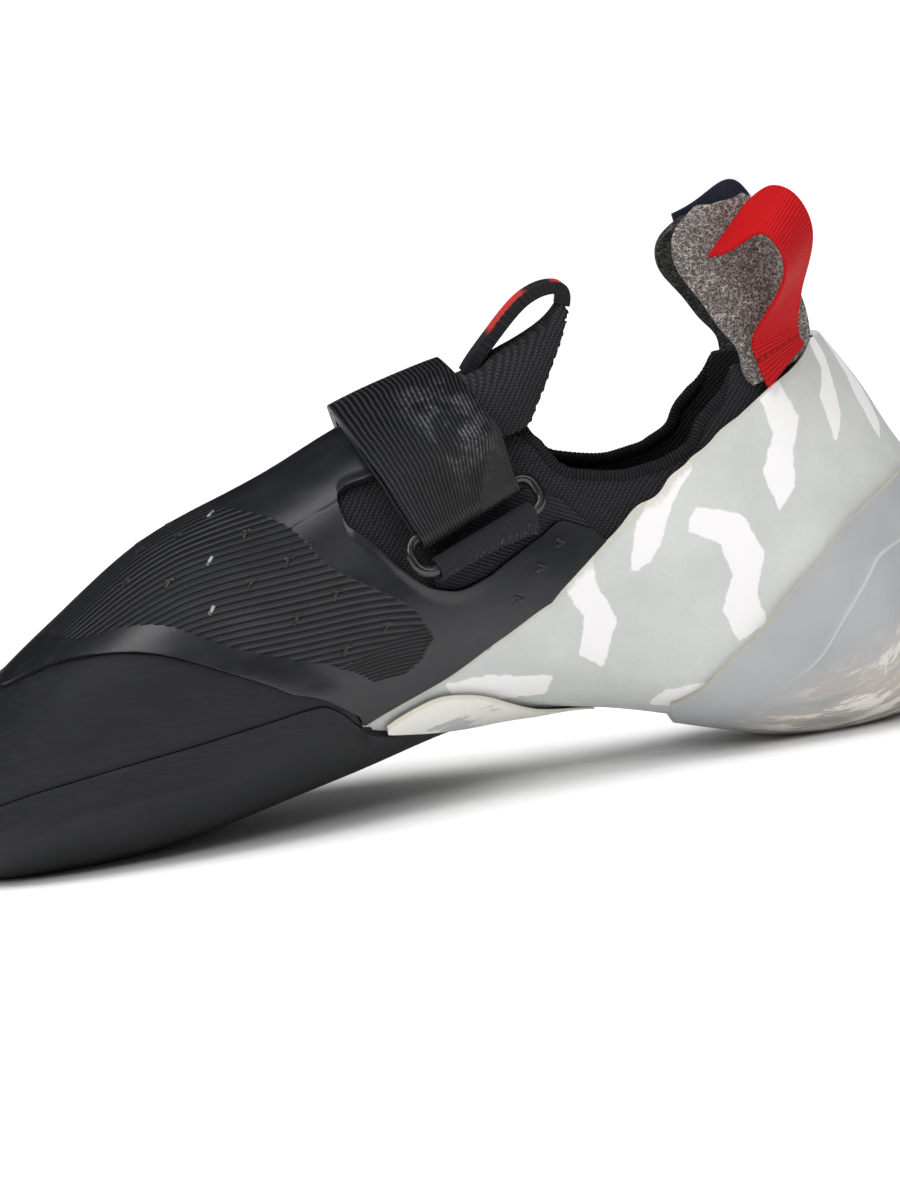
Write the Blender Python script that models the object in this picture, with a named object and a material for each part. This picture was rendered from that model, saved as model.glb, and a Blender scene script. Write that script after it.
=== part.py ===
"""A right climbing shoe, standing empty on its sole.

The toe points to -X and the medial side faces -Y. The origin is on the floor, under the middle of
the heel. Every layer is an offset of one last, which is worked out from a few sizes, so the wall,
the rands, the patches and the sole follow each other when a size changes.

A place on the last is a station, counted along the foot from the tip of the toe (0) over the
forefoot and instep and round the back of the heel to the rear rim, and a girth, which runs from
the middle of the sole (0) up either side to the ridge on top (1). Medial girths are negative.
"""

from math import cos, pi, radians, sin

import bmesh
import bpy
import numpy as np

# The last, in metres.
LENGTH = 0.2455  # back of the heel to the tip of the toe
BALL = 0.089  # width across the ball
INSTEP = 0.0935  # footbed of the forefoot to the top of the instep
HEEL = 0.0905  # footbed of the heel to the rear rim
ARCH = 0.0155  # rise of the sole in front of the heel

# Layers, each as thick as its material.
WALL = 0.0018  # knit and microfibre upper
INSOLE = 0.0015
RAND = 0.0016  # rubber round the toe
HEEL_RAND = 0.0017  # tensioned rubber from the heel to the arch
BAND = 0.0015  # arch band, over the heel rand
SOLE = 0.0040  # outsole under the foot
SOLE_EDGE = 0.0024  # outsole where it ends on the side
PATCH = 0.0018  # moulded rubber over the toes
LIP = 0.0010  # thicker rim of the patch, over the toe rand
TONGUE = 0.0018
STRAP = 0.0015
WEB = 0.0011  # ring keeper
TAB = 0.0020  # heel tabs
RIBBON = 0.0010  # heel pull loops
CORD_TAPE = 0.0026  # folded tape of the tongue loop
GAP = 0.0003  # between any two neighbours
OVERLAY_GAP = 0.0005  # under the rubber that lies on the heel rand
FLAT = 0.0010  # how far the rubber is worn flat where it stands

# Hardware and webbings.
RING_WIRE = 0.0028
RING_LENGTH = 0.0375  # over all
RING_HEIGHT = 0.0115  # over all
RING_CORNER = 0.0035  # of the wire's middle line
STRAP_LIFT = 0.0004  # slack of each run of the strap
TONGUE_SLACK = 0.0006
KEEPER_WIDTH = 0.0270
LOOP_WIDTH = 0.0120  # tongue loop

SOLE_OUT = GAP + SOLE
STAND = SOLE_OUT - FLAT  # height of the last's lowest place above the floor
HEEL_PATCH = SOLE_OUT - (GAP + HEEL_RAND + OVERLAY_GAP)  # heel and forefoot stand on one plane

MEDIAL, LATERAL = -1, 1

# One row for each station. x is a share of LENGTH, top z of INSTEP, y of BALL. The bottom z is a
# share of ARCH in the first table and of HEEL in the second. side is the share of the height at
# which the section is widest. The last three are exponents of the section's corners.
#  top x, top z, bottom x, bottom z, medial y, lateral y, ridge y, keel y, side, low, up medial, up lateral
FOREFOOT = (
    (-0.873, 0.230, -0.874, 0.387, -0.264, -0.017, -0.146, -0.135, 0.45, 2.2, 2.1, 2.0),
    (-0.853, 0.342, -0.857, 0.077, -0.354, 0.084, -0.157, -0.135, 0.42, 2.5, 2.2, 2.0),
    (-0.812, 0.458, -0.819, 0.000, -0.421, 0.213, -0.157, -0.112, 0.40, 2.7, 2.3, 2.0),
    (-0.745, 0.581, -0.758, 0.000, -0.466, 0.348, -0.146, -0.079, 0.38, 2.8, 2.3, 1.95),
    (-0.668, 0.710, -0.684, 0.077, -0.483, 0.444, -0.124, -0.045, 0.36, 2.8, 2.25, 1.9),
    (-0.595, 0.784, -0.607, 0.300, -0.483, 0.500, -0.101, -0.022, 0.35, 2.7, 2.2, 1.9),
    (-0.523, 0.845, -0.525, 0.560, -0.455, 0.517, -0.067, 0.000, 0.35, 2.6, 2.15, 1.9),
    (-0.452, 0.920, -0.440, 0.810, -0.410, 0.489, -0.045, 0.011, 0.37, 2.5, 2.1, 1.95),
    (-0.387, 0.968, -0.358, 0.960, -0.371, 0.444, -0.022, 0.022, 0.38, 2.4, 2.1, 2.0),
    (-0.334, 0.995, -0.277, 0.900, -0.343, 0.399, 0.000, 0.022, 0.36, 2.4, 2.1, 2.1),
    (-0.297, 1.000, -0.204, 0.650, -0.326, 0.360, 0.000, 0.022, 0.32, 2.4, 2.1, 2.1),
    (-0.273, 0.995, -0.134, 0.310, -0.315, 0.337, 0.000, 0.011, 0.28, 2.4, 2.2, 2.2),
)
REARFOOT = (
    (-0.259, 0.984, -0.061, 0.007, -0.309, 0.320, 0.000, 0.000, 0.27, 2.3, 2.2, 2.2),
    (-0.251, 0.973, 0.012, 0.000, -0.309, 0.315, 0.000, 0.000, 0.27, 2.3, 2.2, 2.2),
    (-0.246, 0.968, 0.073, 0.040, -0.309, 0.315, 0.000, 0.000, 0.31, 2.2, 2.2, 2.2),
    (-0.244, 0.963, 0.110, 0.138, -0.309, 0.309, 0.000, 0.000, 0.35, 2.1, 2.2, 2.2),
    (-0.244, 0.957, 0.122, 0.276, -0.303, 0.303, 0.000, 0.000, 0.38, 2.1, 2.2, 2.2),
    (-0.244, 0.952, 0.120, 0.431, -0.292, 0.292, 0.000, 0.000, 0.41, 2.1, 2.2, 2.2),
    (-0.244, 0.947, 0.100, 0.591, -0.281, 0.281, 0.000, 0.000, 0.44, 2.1, 2.2, 2.2),
    (-0.244, 0.941, 0.075, 0.724, -0.270, 0.270, 0.000, 0.000, 0.46, 2.1, 2.2, 2.2),
    (-0.244, 0.930, 0.054, 0.851, -0.258, 0.258, 0.000, 0.000, 0.48, 2.1, 2.2, 2.2),
    (-0.244, 0.920, 0.022, 1.000, -0.247, 0.247, 0.000, 0.000, 0.50, 2.1, 2.2, 2.2),
)
TIP = (-0.878, 0.139, -0.140)  # x of LENGTH, z of INSTEP, y of BALL

# Edges on the last, as (station, girth) pairs for one side.
RIM = (  # collar and throat of the upper
    (8.70, 1.000), (9.20, 0.905), (9.90, 0.835), (10.50, 0.805), (11.05, 0.790), (11.33, 0.765),
    (11.55, 0.722), (11.90, 0.709), (12.60, 0.711), (13.90, 0.718), (15.20, 0.701), (17.40, 0.656),
    (19.90, 0.559), (21.30, 0.469), (22.00, 0.400),
)
FOOTBED = (  # hole under the foot, closed by the insole
    (2.80, 0.000), (3.30, 0.110), (4.00, 0.180), (12.50, 0.180), (13.10, 0.110), (13.70, 0.000),
)
BOARD = (  # insole
    (2.20, 0.000), (2.80, 0.150), (3.30, 0.250), (13.10, 0.250), (13.70, 0.180), (14.40, 0.000),
)
SOLE_TOP = (  # top edge of the outsole, then its tail under the arch
    (0.30, 1.000), (0.50, 0.740), (1.00, 0.580), (1.80, 0.522), (2.70, 0.507), (3.70, 0.500),
    (4.50, 0.486), (5.55, 0.464), (6.30, 0.450), (7.05, 0.428), (7.25, 0.392), (7.50, 0.312),
    (8.10, 0.225), (8.50, 0.168), (8.90, 0.100), (9.15, 0.000),
)
TOE_ARC = (  # top edge of the toe rand, under the lip of the patch
    (2.80, 1.000), (2.90, 0.915), (3.02, 0.855), (3.45, 0.806), (3.90, 0.768), (4.45, 0.715), (5.20, 0.649),
    (5.90, 0.585), (6.60, 0.516), (7.05, 0.452), (7.50, 0.345),
)
HEEL_LINE = (  # top edge of the heel rand, from the outsole's corner to the back
    (7.50, 0.318), (7.95, 0.327), (8.50, 0.340), (9.35, 0.402), (10.40, 0.515), (11.50, 0.592),
    (12.15, 0.636), (13.55, 0.674), (15.60, 0.678), (17.80, 0.628), (20.00, 0.509), (20.85, 0.432),
    (21.20, 0.378), (21.60, 0.290), (22.00, 0.150),
)
BAY_LOW = (  # the patch's arm, along the window and under the ring
    (7.75, 0.760), (7.90, 0.692), (8.05, 0.658), (8.35, 0.595), (8.72, 0.545), (9.04, 0.531),
    (9.40, 0.540), (9.85, 0.565), (10.45, 0.599), (11.05, 0.629), (11.50, 0.626), (11.80, 0.608),
)
BAY_TOP = ((7.75, 0.760), (7.90, 0.775), (8.20, 0.768), (8.70, 0.768))
BAND_TOP = (  # arch band, over the heel rand
    (7.75, 0.302), (7.90, 0.310), (8.35, 0.318), (8.90, 0.288), (9.70, 0.175), (10.40, 0.090),
)
HEEL_PATCH_TOP = (
    (11.50, 0.250), (11.75, 0.275), (12.00, 0.320), (13.00, 0.465), (15.15, 0.525), (17.75, 0.391),
    (18.85, 0.225), (19.15, 0.130), (19.30, 0.000),
)

# Every layer has its corners at these stations and girths, so stacked layers stay parallel.
STATIONS = (
    0.0, 0.15, 0.30, 0.55, 0.85, 1.25, 1.7, 2.2, 2.8, 3.3, 4.0, 4.8, 5.6, 6.4, 7.05, 7.5, 7.75, 7.9,
    8.2, 8.7, 8.95, 9.2, 9.7, 10.4, 11.05, 11.5, 11.9, 12.5, 13.1, 13.6, 14.1, 14.6, 15.2, 16.2, 17.3, 18.3,
    19.3, 20.2, 20.9, 21.45, 22.0,
)  # fmt: skip
GIRTHS = (0, 0.09, 0.18, 0.25, 0.32, 0.39, 0.46, 0.53, 0.60, 0.68, 0.76, 0.84, 0.92, 1)
SNAP = 0.012  # a corner this close to an edge moves onto it

# Strap: front station, front turn, rear station, rear turn. A turn counts girth from the ridge,
# negative on the medial side.
STRAP_RUN = (
    (8.25, 0.400, 10.15, 0.370),
    (8.15, 0.280, 10.05, 0.260),
    (8.08, 0.150, 9.95, 0.140),
    (8.04, 0.000, 9.89, 0.000),
    (8.10, -0.120, 9.98, -0.100),
    (8.22, -0.210, 10.12, -0.190),
    (8.38, -0.285, 10.30, -0.250),
)
STRAP_STEPS = 12  # rows of each run of the strap
STRAP_SETTLES = 0.15  # share of the run over which it comes down to where it is sewn on
STRAP_RISES = 0.6  # from this share of the run the upper run lifts to pass over the bar
TURN_STEPS = 8  # rows of a webbing round a bar
KEEPER_TURN = (-40, -255)  # degrees round the bar, from the sewn end under it
RING_FRONT, RING_REAR = (8.38, -0.625), (10.62, -0.693)  # ends of the ring's upper bar
KEEPER_FRONT, KEEPER_REAR = (8.80, -0.556), (10.45, -0.608)  # where the keeper is sewn down

# Tongue: rows that lie on the last, as centre station, wing station and wing girth, and rows above
# it, as centre x, z and wing x, y, z. Shares of LENGTH, INSTEP and BALL as above.
TONGUE_SEWN = ((8.75, 9.15, 0.830), (9.05, 9.70, 0.790), (9.35, 10.35, 0.766))
TONGUE_FREE = (
    (-0.3160, 1.025, -0.2775, 0.2280, 0.880),
    (-0.2950, 1.053, -0.2655, 0.2050, 0.915),
    (-0.2740, 1.075, -0.2530, 0.1750, 0.963),
    (-0.2550, 1.095, -0.2410, 0.1450, 1.014),
    (-0.2385, 1.117, -0.2300, 0.1150, 1.060),
    (-0.2260, 1.142, -0.2215, 0.0900, 1.103),
    (-0.2180, 1.165, -0.2150, 0.0700, 1.143),
)
TONGUE_LOOP = (  # x, z
    (-0.3300, 1.043), (-0.3150, 1.054), (-0.3020, 1.073), (-0.2870, 1.113), (-0.2720, 1.150),
    (-0.2560, 1.183), (-0.2400, 1.202), (-0.2280, 1.207), (-0.2185, 1.203), (-0.2145, 1.189),
)

# Heel tabs above the rim: front x, y, z and rear x, y, z on the lateral side, shares of LENGTH,
# BALL and HEEL.
TAB_SEWN = ((21.02, 0.462, 21.93, 0.215), (21.60, 0.440, 22.00, 0.170))
TAB_FREE = (
    (-0.0790, 0.2520, 1.020, 0.0120, 0.1450, 1.045),
    (-0.0870, 0.2470, 1.085, 0.0100, 0.1500, 1.110),
    (-0.0955, 0.2400, 1.160, 0.0035, 0.1580, 1.183),
    (-0.1050, 0.2330, 1.235, -0.0040, 0.1640, 1.255),
    (-0.1100, 0.2270, 1.300, -0.0120, 0.1710, 1.325),
    (-0.1020, 0.2220, 1.358, -0.0175, 0.1770, 1.380),
    (-0.0780, 0.2160, 1.404, -0.0340, 0.1840, 1.415),
)
TAB_BULGE = 0.0020

# Pull loops: lower edge x, y, z and upper edge x, y, z, same shares, y outward.
MEDIAL_LOOP = (
    (-0.0770, 0.2540, 1.275, -0.0300, 0.2190, 1.395),
    (-0.0575, 0.3000, 1.285, -0.0125, 0.2620, 1.428),
    (-0.0365, 0.3600, 1.318, -0.0010, 0.3100, 1.432),
    (-0.0245, 0.3950, 1.318, 0.0090, 0.3400, 1.415),
    (-0.0170, 0.4150, 1.290, 0.0170, 0.3560, 1.380),
    (-0.0120, 0.4150, 1.250, 0.0220, 0.3560, 1.330),
    (-0.0125, 0.4000, 1.208, 0.0210, 0.3440, 1.278),
    (-0.0180, 0.3750, 1.168, 0.0150, 0.3200, 1.222),
    (-0.0290, 0.3420, 1.122, 0.0070, 0.2900, 1.160),
    (-0.0420, 0.3120, 1.075, 0.0020, 0.2560, 1.097),
    (-0.0485, 0.2880, 1.020, 0.0000, 0.2250, 1.050),
    (-0.0470, 0.2820, 0.962, 0.0035, 0.2070, 1.010),
)
LATERAL_LOOP = (
    (-0.0800, 0.2620, 1.220, -0.0880, 0.2480, 1.350),
    (-0.0560, 0.3050, 1.245, -0.0600, 0.2750, 1.392),
    (-0.0340, 0.3450, 1.260, -0.0320, 0.3000, 1.425),
    (-0.0220, 0.3650, 1.245, -0.0140, 0.3120, 1.418),
    (-0.0165, 0.3700, 1.205, -0.0020, 0.3150, 1.365),
    (-0.0180, 0.3620, 1.160, 0.0070, 0.3080, 1.290),
    (-0.0270, 0.3420, 1.110, 0.0080, 0.2850, 1.200),
    (-0.0400, 0.3120, 1.060, 0.0040, 0.2480, 1.110),
    (-0.0470, 0.2930, 1.010, 0.0005, 0.2280, 1.050),
    (-0.0460, 0.2870, 0.962, 0.0035, 0.2120, 1.010),
)


# Curves through short tables


def natural_spline(values):
    """The natural cubic through values at 0, 1, 2 and on."""
    values = np.asarray(values, float)
    count = len(values)
    system = np.eye(count)
    right = np.zeros_like(values)
    for i in range(1, count - 1):
        system[i, i - 1 : i + 2] = (1, 4, 1)
        right[i] = 6 * (values[i - 1] - 2 * values[i] + values[i + 1])
    bend = np.linalg.solve(system, right)

    def at(t):
        t = np.clip(t, 0, count - 1)
        i = min(int(t), count - 2)
        u = t - i
        straight = (1 - u) * values[i] + u * values[i + 1]
        return straight + (((1 - u) ** 3 - (1 - u)) * bend[i] + (u**3 - u) * bend[i + 1]) / 6

    return at


def edge_curve(table):
    """A smooth girth for each station that never overshoots the table's rows."""
    s, g = np.array(table, float).T
    run = np.diff(s)
    slope = np.diff(g) / run
    tangent = np.zeros_like(s)
    tangent[0], tangent[-1] = slope[0], slope[-1]
    for i in range(1, len(s) - 1):
        if slope[i - 1] * slope[i] > 0:
            a, b = 2 * run[i] + run[i - 1], run[i] + 2 * run[i - 1]
            tangent[i] = (a + b) / (a / slope[i - 1] + b / slope[i])

    def at(station):
        station = min(max(station, s[0]), s[-1])
        i = min(max(int(np.searchsorted(s, station, "right")) - 1, 0), len(run) - 1)
        u = (station - s[i]) / run[i]
        start = (1 + 2 * u) * (1 - u) ** 2 * g[i] + u * (1 - u) ** 2 * run[i] * tangent[i]
        end = u * u * (3 - 2 * u) * g[i + 1] + u * u * (u - 1) * run[i] * tangent[i + 1]
        return start + end

    return at


def smooth_step(low, high, value):
    t = min(max((value - low) / (high - low), 0), 1)
    return t * t * (3 - 2 * t)


# The last


class Last:
    """The foot's shape. Top and bottom profiles run on through the tip, and so do both outlines."""

    def __init__(self):
        rows = [(*row[:3], STAND + row[3] * ARCH, *row[4:]) for row in FOREFOOT]
        rows += [(*row[:3], STAND + row[3] * HEEL, *row[4:]) for row in REARFOOT]
        rows = np.array(rows)
        self.count = len(rows)
        tip_x, tip_z, tip_y = TIP[0] * LENGTH, STAND + TIP[1] * INSTEP, TIP[2] * BALL
        self.tip_y = tip_y
        through = lambda first, tip, second: natural_spline([*first[::-1], tip, *second])
        self.x = through(rows[:, 2] * LENGTH, tip_x, rows[:, 0] * LENGTH)
        self.z = through(rows[:, 3], tip_z, STAND + rows[:, 1] * INSTEP)
        self.y = through(rows[:, 4] * BALL, tip_y, rows[:, 5] * BALL)
        self.ridge, self.keel = (
            natural_spline([tip_y, *(rows[:, i] * BALL)]) for i in (6, 7)
        )
        self.side, self.low, self.up_medial, self.up_lateral = (
            natural_spline([rows[0, i], *rows[:, i]]) for i in (8, 9, 10, 11)
        )

    def base(self, s, g):
        """The place on the last itself."""
        n = self.count
        top = np.array((self.x(n + s), self.z(n + s)))
        bottom = np.array((self.x(n - s), self.z(n - s)))
        angle = pi * abs(g)
        lower = angle <= pi / 2
        upper_power = self.up_medial(s) if g < 0 else self.up_lateral(s)
        power = self.low(s) if lower else upper_power
        reach = (abs(cos(angle)) ** power + abs(sin(angle)) ** power) ** (-1 / power)
        side = self.side(s)
        if lower:
            height = side * (1 - reach * cos(angle))
        else:
            height = side - (1 - side) * reach * cos(angle)
        middle = self.keel(s) if lower else self.ridge(s)
        outline = self.y(n - s) if g < 0 else self.y(n + s)
        y = middle + (outline - middle) * reach * sin(angle)
        x, z = bottom + (top - bottom) * height
        return np.array((x, y, z))

    def normal(self, s, g):
        """Straight out of the last."""
        step = 1e-3
        s = min(max(s, 0.03), self.count)
        along = self.base(min(s + step, self.count), g) - self.base(s - step, g)
        around = self.base(s, g + step) - self.base(s, g - step)
        out = np.cross(around, along)
        return out / np.linalg.norm(out)

    def point(self, s, g, offset=0.0):
        return self.base(s, g) + self.normal(s, g) * offset

    def clear(self, edge, s, distance):
        """How much more girth keeps this distance from an edge, measured on the last."""
        g = edge(s)
        step = 1e-3
        around = (self.base(s, g + step) - self.base(s, g - step)) / (2 * step)
        low, high = max(s - 0.02, 0.02), min(s + 0.02, self.count)
        along = self.base(high, edge(high)) - self.base(low, edge(low))
        along /= max(np.linalg.norm(along), 1e-9)
        across = around - along * (around @ along)
        return distance / max(np.linalg.norm(across), 0.15 * np.linalg.norm(around))


LAST = Last()
ARC_ROWS = (2.80, 2.90, 3.02)  # where the toe rand's top edge crosses the ridge
RAND_BACK = 7.05  # end of the toe rand, against the outsole's corner
LIP_REACH = 0.09  # girth over which the patch thins behind its lip
LIP_FADES = (6.6, 8.0)  # where the lip runs out
SIDE_THINS = (0.70, 1.0)  # shares of the outsole's side over which it thins
TAIL_THINS = 7.2  # from here the outsole thins towards its tail
CORNER_ROW = 7.25  # where outsole, toe rand, patch and heel rand come together
TOP_ROW = 21.75  # on the heel rand's last curve, up to the rear rim
APEX = 0.06  # stations between two layers that meet in a point on the ridge
TAIL = SOLE_TOP[-1][0] + 0.05  # where the rubber behind the outsole's tail closes under the foot

RIM_AT = edge_curve(RIM)
FOOTBED_AT = edge_curve(FOOTBED)
BOARD_AT = edge_curve(BOARD)
SOLE_TOP_AT = edge_curve(SOLE_TOP)
TOE_ARC_AT = edge_curve(TOE_ARC)
HEEL_LINE_AT = edge_curve(HEEL_LINE)
BAY_LOW_AT = edge_curve(BAY_LOW)
BAY_TOP_AT = edge_curve(BAY_TOP)
BAND_TOP_AT = edge_curve(BAND_TOP)
HEEL_PATCH_AT = edge_curve(HEEL_PATCH_TOP)


def above(edge, distance):
    """An edge moved up by a distance on the last, and down by a negative one."""
    return lambda s: min(max(edge(s) + LAST.clear(edge, s, distance), 0), 1)


def stations(first, last, *own):
    """Two stations, the shared ones between them and any that only some outer layers have."""
    return sorted({first, last, *own, *(s for s in STATIONS if first < s < last)})


# Solids


def add_object(name, points, faces, colour, roughness, metallic=0.0, smooth=True):
    """An object with its own material, its faces turned out."""
    body = bmesh.new()
    verts = [body.verts.new(p) for p in points]
    for face in faces:
        body.faces.new([verts[i] for i in face])
    bmesh.ops.recalc_face_normals(body, faces=body.faces)
    mesh = bpy.data.meshes.new(name)
    body.to_mesh(mesh)
    body.free()
    if smooth:
        mesh.shade_smooth()
        mesh.set_sharp_from_angle(angle=radians(50))
    material = bpy.data.materials.new(name)
    material.use_nodes = True
    shader = material.node_tree.nodes["Principled BSDF"]
    shader.inputs["Base Color"].default_value = (*colour, 1)
    shader.inputs["Roughness"].default_value = roughness
    shader.inputs["Metallic"].default_value = metallic
    mesh.materials.append(material)
    obj = bpy.data.objects.new(name, mesh)
    bpy.context.collection.objects.link(obj)
    return obj


def closed_faces(faces, count):
    """The two skins of a wall and the strips that join them along each open edge."""
    edges = {}
    for face in faces:
        for a, b in zip(face, (*face[1:], face[0])):
            edges.setdefault(frozenset((a, b)), []).append((a, b))
    inner = [tuple(i + count for i in reversed(face)) for face in faces]
    rims = [used[0] for used in edges.values() if len(used) == 1]
    return faces + inner + [(b, a, a + count, b + count) for a, b in rims]


class Wall:
    """A layer on the last, gathered from blocks of stations and girths, with its own thickness."""

    def __init__(self):
        self.places = []
        self.index = {}
        self.faces = []

    def place(self, s, g):
        key = tuple(np.round(LAST.base(s, g) * 1e6).astype(int))
        if key not in self.index:
            self.index[key] = len(self.places)
            self.places.append((s, g))
        return self.index[key]

    def block(self, side, rows, low, high):
        """Cells between two edges on one side, each an edge or a fixed girth."""
        low = low if callable(low) else lambda s, g=low: g
        high = high if callable(high) else lambda s, g=high: g
        grid = []
        for s in rows:
            start, end = low(s), high(s)
            inside = [start if g < start + SNAP else end if g > end - SNAP else g for g in GIRTHS]
            grid.append([self.place(s, side * g) for g in (start, *inside, end)])
        for near, far in zip(grid, grid[1:]):
            for j in range(len(near) - 1):
                ring = [near[j], near[j + 1], far[j + 1], far[j]]
                face = tuple(v for i, v in enumerate(ring) if v != ring[i - 1])
                if len(set(face)) == len(face) >= 3:
                    self.faces.append(face)

    def finish(self, name, inner, outer, colour, roughness, floor=False):
        """Makes the solid. inner and outer are offsets, fixed or worked out from the place."""
        inner = inner if callable(inner) else lambda s, g, t=inner: t
        outer = outer if callable(outer) else lambda s, g, t=outer: t
        outside = [LAST.point(s, g, outer(s, g)) for s, g in self.places]
        inside = [LAST.point(s, g, inner(s, g)) for s, g in self.places]
        if floor:
            outside = [(x, y, max(z, 0.0)) for x, y, z in outside]
        faces = closed_faces(self.faces, len(self.places))
        return add_object(name, outside + inside, faces, colour, roughness)


def slab(name, grid, thickness, colour, roughness):
    """A sheet of one thickness about a grid of points."""
    grid = np.array(grid)
    rows, columns = grid.shape[:2]
    normal = np.cross(np.gradient(grid, axis=0), np.gradient(grid, axis=1))
    normal /= np.linalg.norm(normal, axis=2, keepdims=True)
    half = normal * thickness / 2
    points = [*(grid + half).reshape(-1, 3), *(grid - half).reshape(-1, 3)]
    faces = [
        (i * columns + j, i * columns + j + 1, (i + 1) * columns + j + 1, (i + 1) * columns + j)
        for i in range(rows - 1)
        for j in range(columns - 1)
    ]
    return add_object(name, points, closed_faces(faces, rows * columns), colour, roughness)


def tube(name, path, radius, sides, colour, roughness, metallic):
    """A closed loop of round wire."""
    path = np.array(path)
    ahead = np.roll(path, -1, axis=0) - np.roll(path, 1, axis=0)
    ahead /= np.linalg.norm(ahead, axis=1, keepdims=True)
    out = np.cross(path[1] - path[0], path[len(path) // 3] - path[0])
    out /= np.linalg.norm(out)
    points, faces = [], []
    for centre, forward in zip(path, ahead):
        across = np.cross(forward, out)
        for k in range(sides):
            turn = 2 * pi * k / sides
            points.append(centre + radius * (cos(turn) * out + sin(turn) * across))
    for i in range(len(path)):
        after = (i + 1) % len(path)
        for k in range(sides):
            beside = (k + 1) % sides
            faces.append((i * sides + k, i * sides + beside, after * sides + beside, after * sides + k))
    return add_object(name, points, faces, colour, roughness, metallic)


# Upper and insole


def make_upper():
    """One hollow wall, open at the throat and collar, and underneath where the insole closes it."""
    wall = Wall()
    for side in (MEDIAL, LATERAL):
        wall.block(side, stations(0, RIM[-1][0]), FOOTBED_AT, RIM_AT)
    wall.finish("upper", -WALL, 0.0, (0.02, 0.02, 0.022), 0.9)


def make_insole():
    """The board inside, over the margin of the upper."""
    wall = Wall()
    for side in (MEDIAL, LATERAL):
        wall.block(side, stations(BOARD[0][0], BOARD[-1][0]), 0.0, BOARD_AT)
    top = -WALL - GAP - INSOLE
    wall.finish("insole", top, -WALL - GAP, (0.25, 0.25, 0.24), 0.9)


# Rubber


def sole_thickness(s, g):
    """Full under the foot, thinner up the side and along the tail."""
    share = abs(g) / max(SOLE_TOP_AT(s), 1e-3)
    up_side = smooth_step(*SIDE_THINS, share) if s < HEEL_LINE[0][0] else 0.0
    tail = smooth_step(TAIL_THINS, SOLE_TOP[-1][0], s)
    return GAP + SOLE + (SOLE_EDGE - SOLE) * max(up_side, tail)


def make_outsole():
    wall = Wall()
    for side in (MEDIAL, LATERAL):
        wall.block(side, stations(0, SOLE_TOP[-1][0], CORNER_ROW), 0.0, SOLE_TOP_AT)
    wall.finish("outsole", GAP, sole_thickness, (0.028, 0.029, 0.031), 0.75, floor=True)


def make_toe_rand():
    """The band round the toe, between the outsole and the lip of the patch."""
    wall = Wall()
    sole = above(SOLE_TOP_AT, GAP)
    front = SOLE_TOP[0][0] + APEX
    low = lambda s: sole(s) if s > front else 1.0
    for side in (MEDIAL, LATERAL):
        wall.block(side, stations(front, RAND_BACK, *ARC_ROWS), low, TOE_ARC_AT)
    wall.finish("toe_rand", GAP, GAP + RAND, (0.026, 0.027, 0.029), 0.7)


def patch_low(s):
    """Lower edge of the patch: over the toe rand, then along the heel rand."""
    if s <= TOE_ARC[0][0] + APEX:
        return 1.0
    edge = TOE_ARC_AT if s < HEEL_LINE[0][0] else HEEL_LINE_AT
    return above(edge, GAP)(s)


def patch_thickness(s, g):
    lip = 1 - smooth_step(0.0, LIP_REACH, abs(g) - patch_low(s))
    fade = 1 - smooth_step(*LIP_FADES, s)
    return GAP + PATCH + LIP * lip * fade


def make_forefoot_patch():
    """Moulded rubber over the toes, with an arm on each side round a window."""
    wall = Wall()
    front, bay = TOE_ARC[0][0] + APEX, BAY_LOW[0][0]
    for side in (MEDIAL, LATERAL):
        wall.block(side, stations(front, bay, *ARC_ROWS[1:], CORNER_ROW), patch_low, 1.0)
        wall.block(side, stations(bay, BAY_TOP[-1][0]), BAY_TOP_AT, 1.0)
        wall.block(side, stations(bay, BAY_LOW[-1][0]), patch_low, BAY_LOW_AT)
    wall.finish("forefoot_patch", GAP, patch_thickness, (0.022, 0.023, 0.027), 0.35)


def tail_edge(distance):
    """The line that the heel rand and the arch band keep to the outsole's tail."""
    edge = above(SOLE_TOP_AT, distance)
    return lambda s: min(edge(s), HEEL_LINE_AT(s)) if s < TAIL else 0.0


def make_heel_rand():
    """The cup round the heel, whose ends run forward under the arch to the outsole's tail."""
    wall = Wall()
    first, last = HEEL_LINE[0][0], HEEL_LINE[-1][0]
    low = tail_edge(GAP)
    for side in (MEDIAL, LATERAL):
        wall.block(side, stations(first, TAIL), low, HEEL_LINE_AT)
        wall.block(side, stations(TAIL, last, TOP_ROW), 0.0, HEEL_LINE_AT)
    wall.finish("heel_rand", GAP, GAP + HEEL_RAND, (0.55, 0.56, 0.55), 0.55)


def make_arch_band():
    wall = Wall()
    first, last = BAND_TOP[0][0], BAND_TOP[-1][0]
    inner = GAP + HEEL_RAND + OVERLAY_GAP
    low = tail_edge(2 * GAP)
    for side in (MEDIAL, LATERAL):
        wall.block(side, stations(first, TAIL), low, BAND_TOP_AT)
        wall.block(side, stations(TAIL, last), 0.0, BAND_TOP_AT)
    wall.finish("arch_band", inner, inner + BAND, (0.72, 0.71, 0.67), 0.6)


def make_heel_patch():
    """The rubber that the heel stands on."""
    wall = Wall()
    inner = GAP + HEEL_RAND + OVERLAY_GAP
    for side in (MEDIAL, LATERAL):
        first, *_, before, close, last = (s for s, g in HEEL_PATCH_TOP)
        rows = stations(first, last, before, close)
        wall.block(side, rows, 0.0, HEEL_PATCH_AT)
    wall.finish("heel_patch", inner, inner + HEEL_PATCH, (0.42, 0.43, 0.44), 0.6, floor=True)


# Tongue and its loop


def turned(turn):
    """The girth at a turn from the ridge."""
    return 1 - turn if turn >= 0 else -1 - turn


def across(centre, wing, share):
    """A quarter ellipse from the centre of a row to its wing."""
    bend = 1 - cos(pi / 2 * abs(share))
    return centre + (wing - centre) * bend


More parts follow.
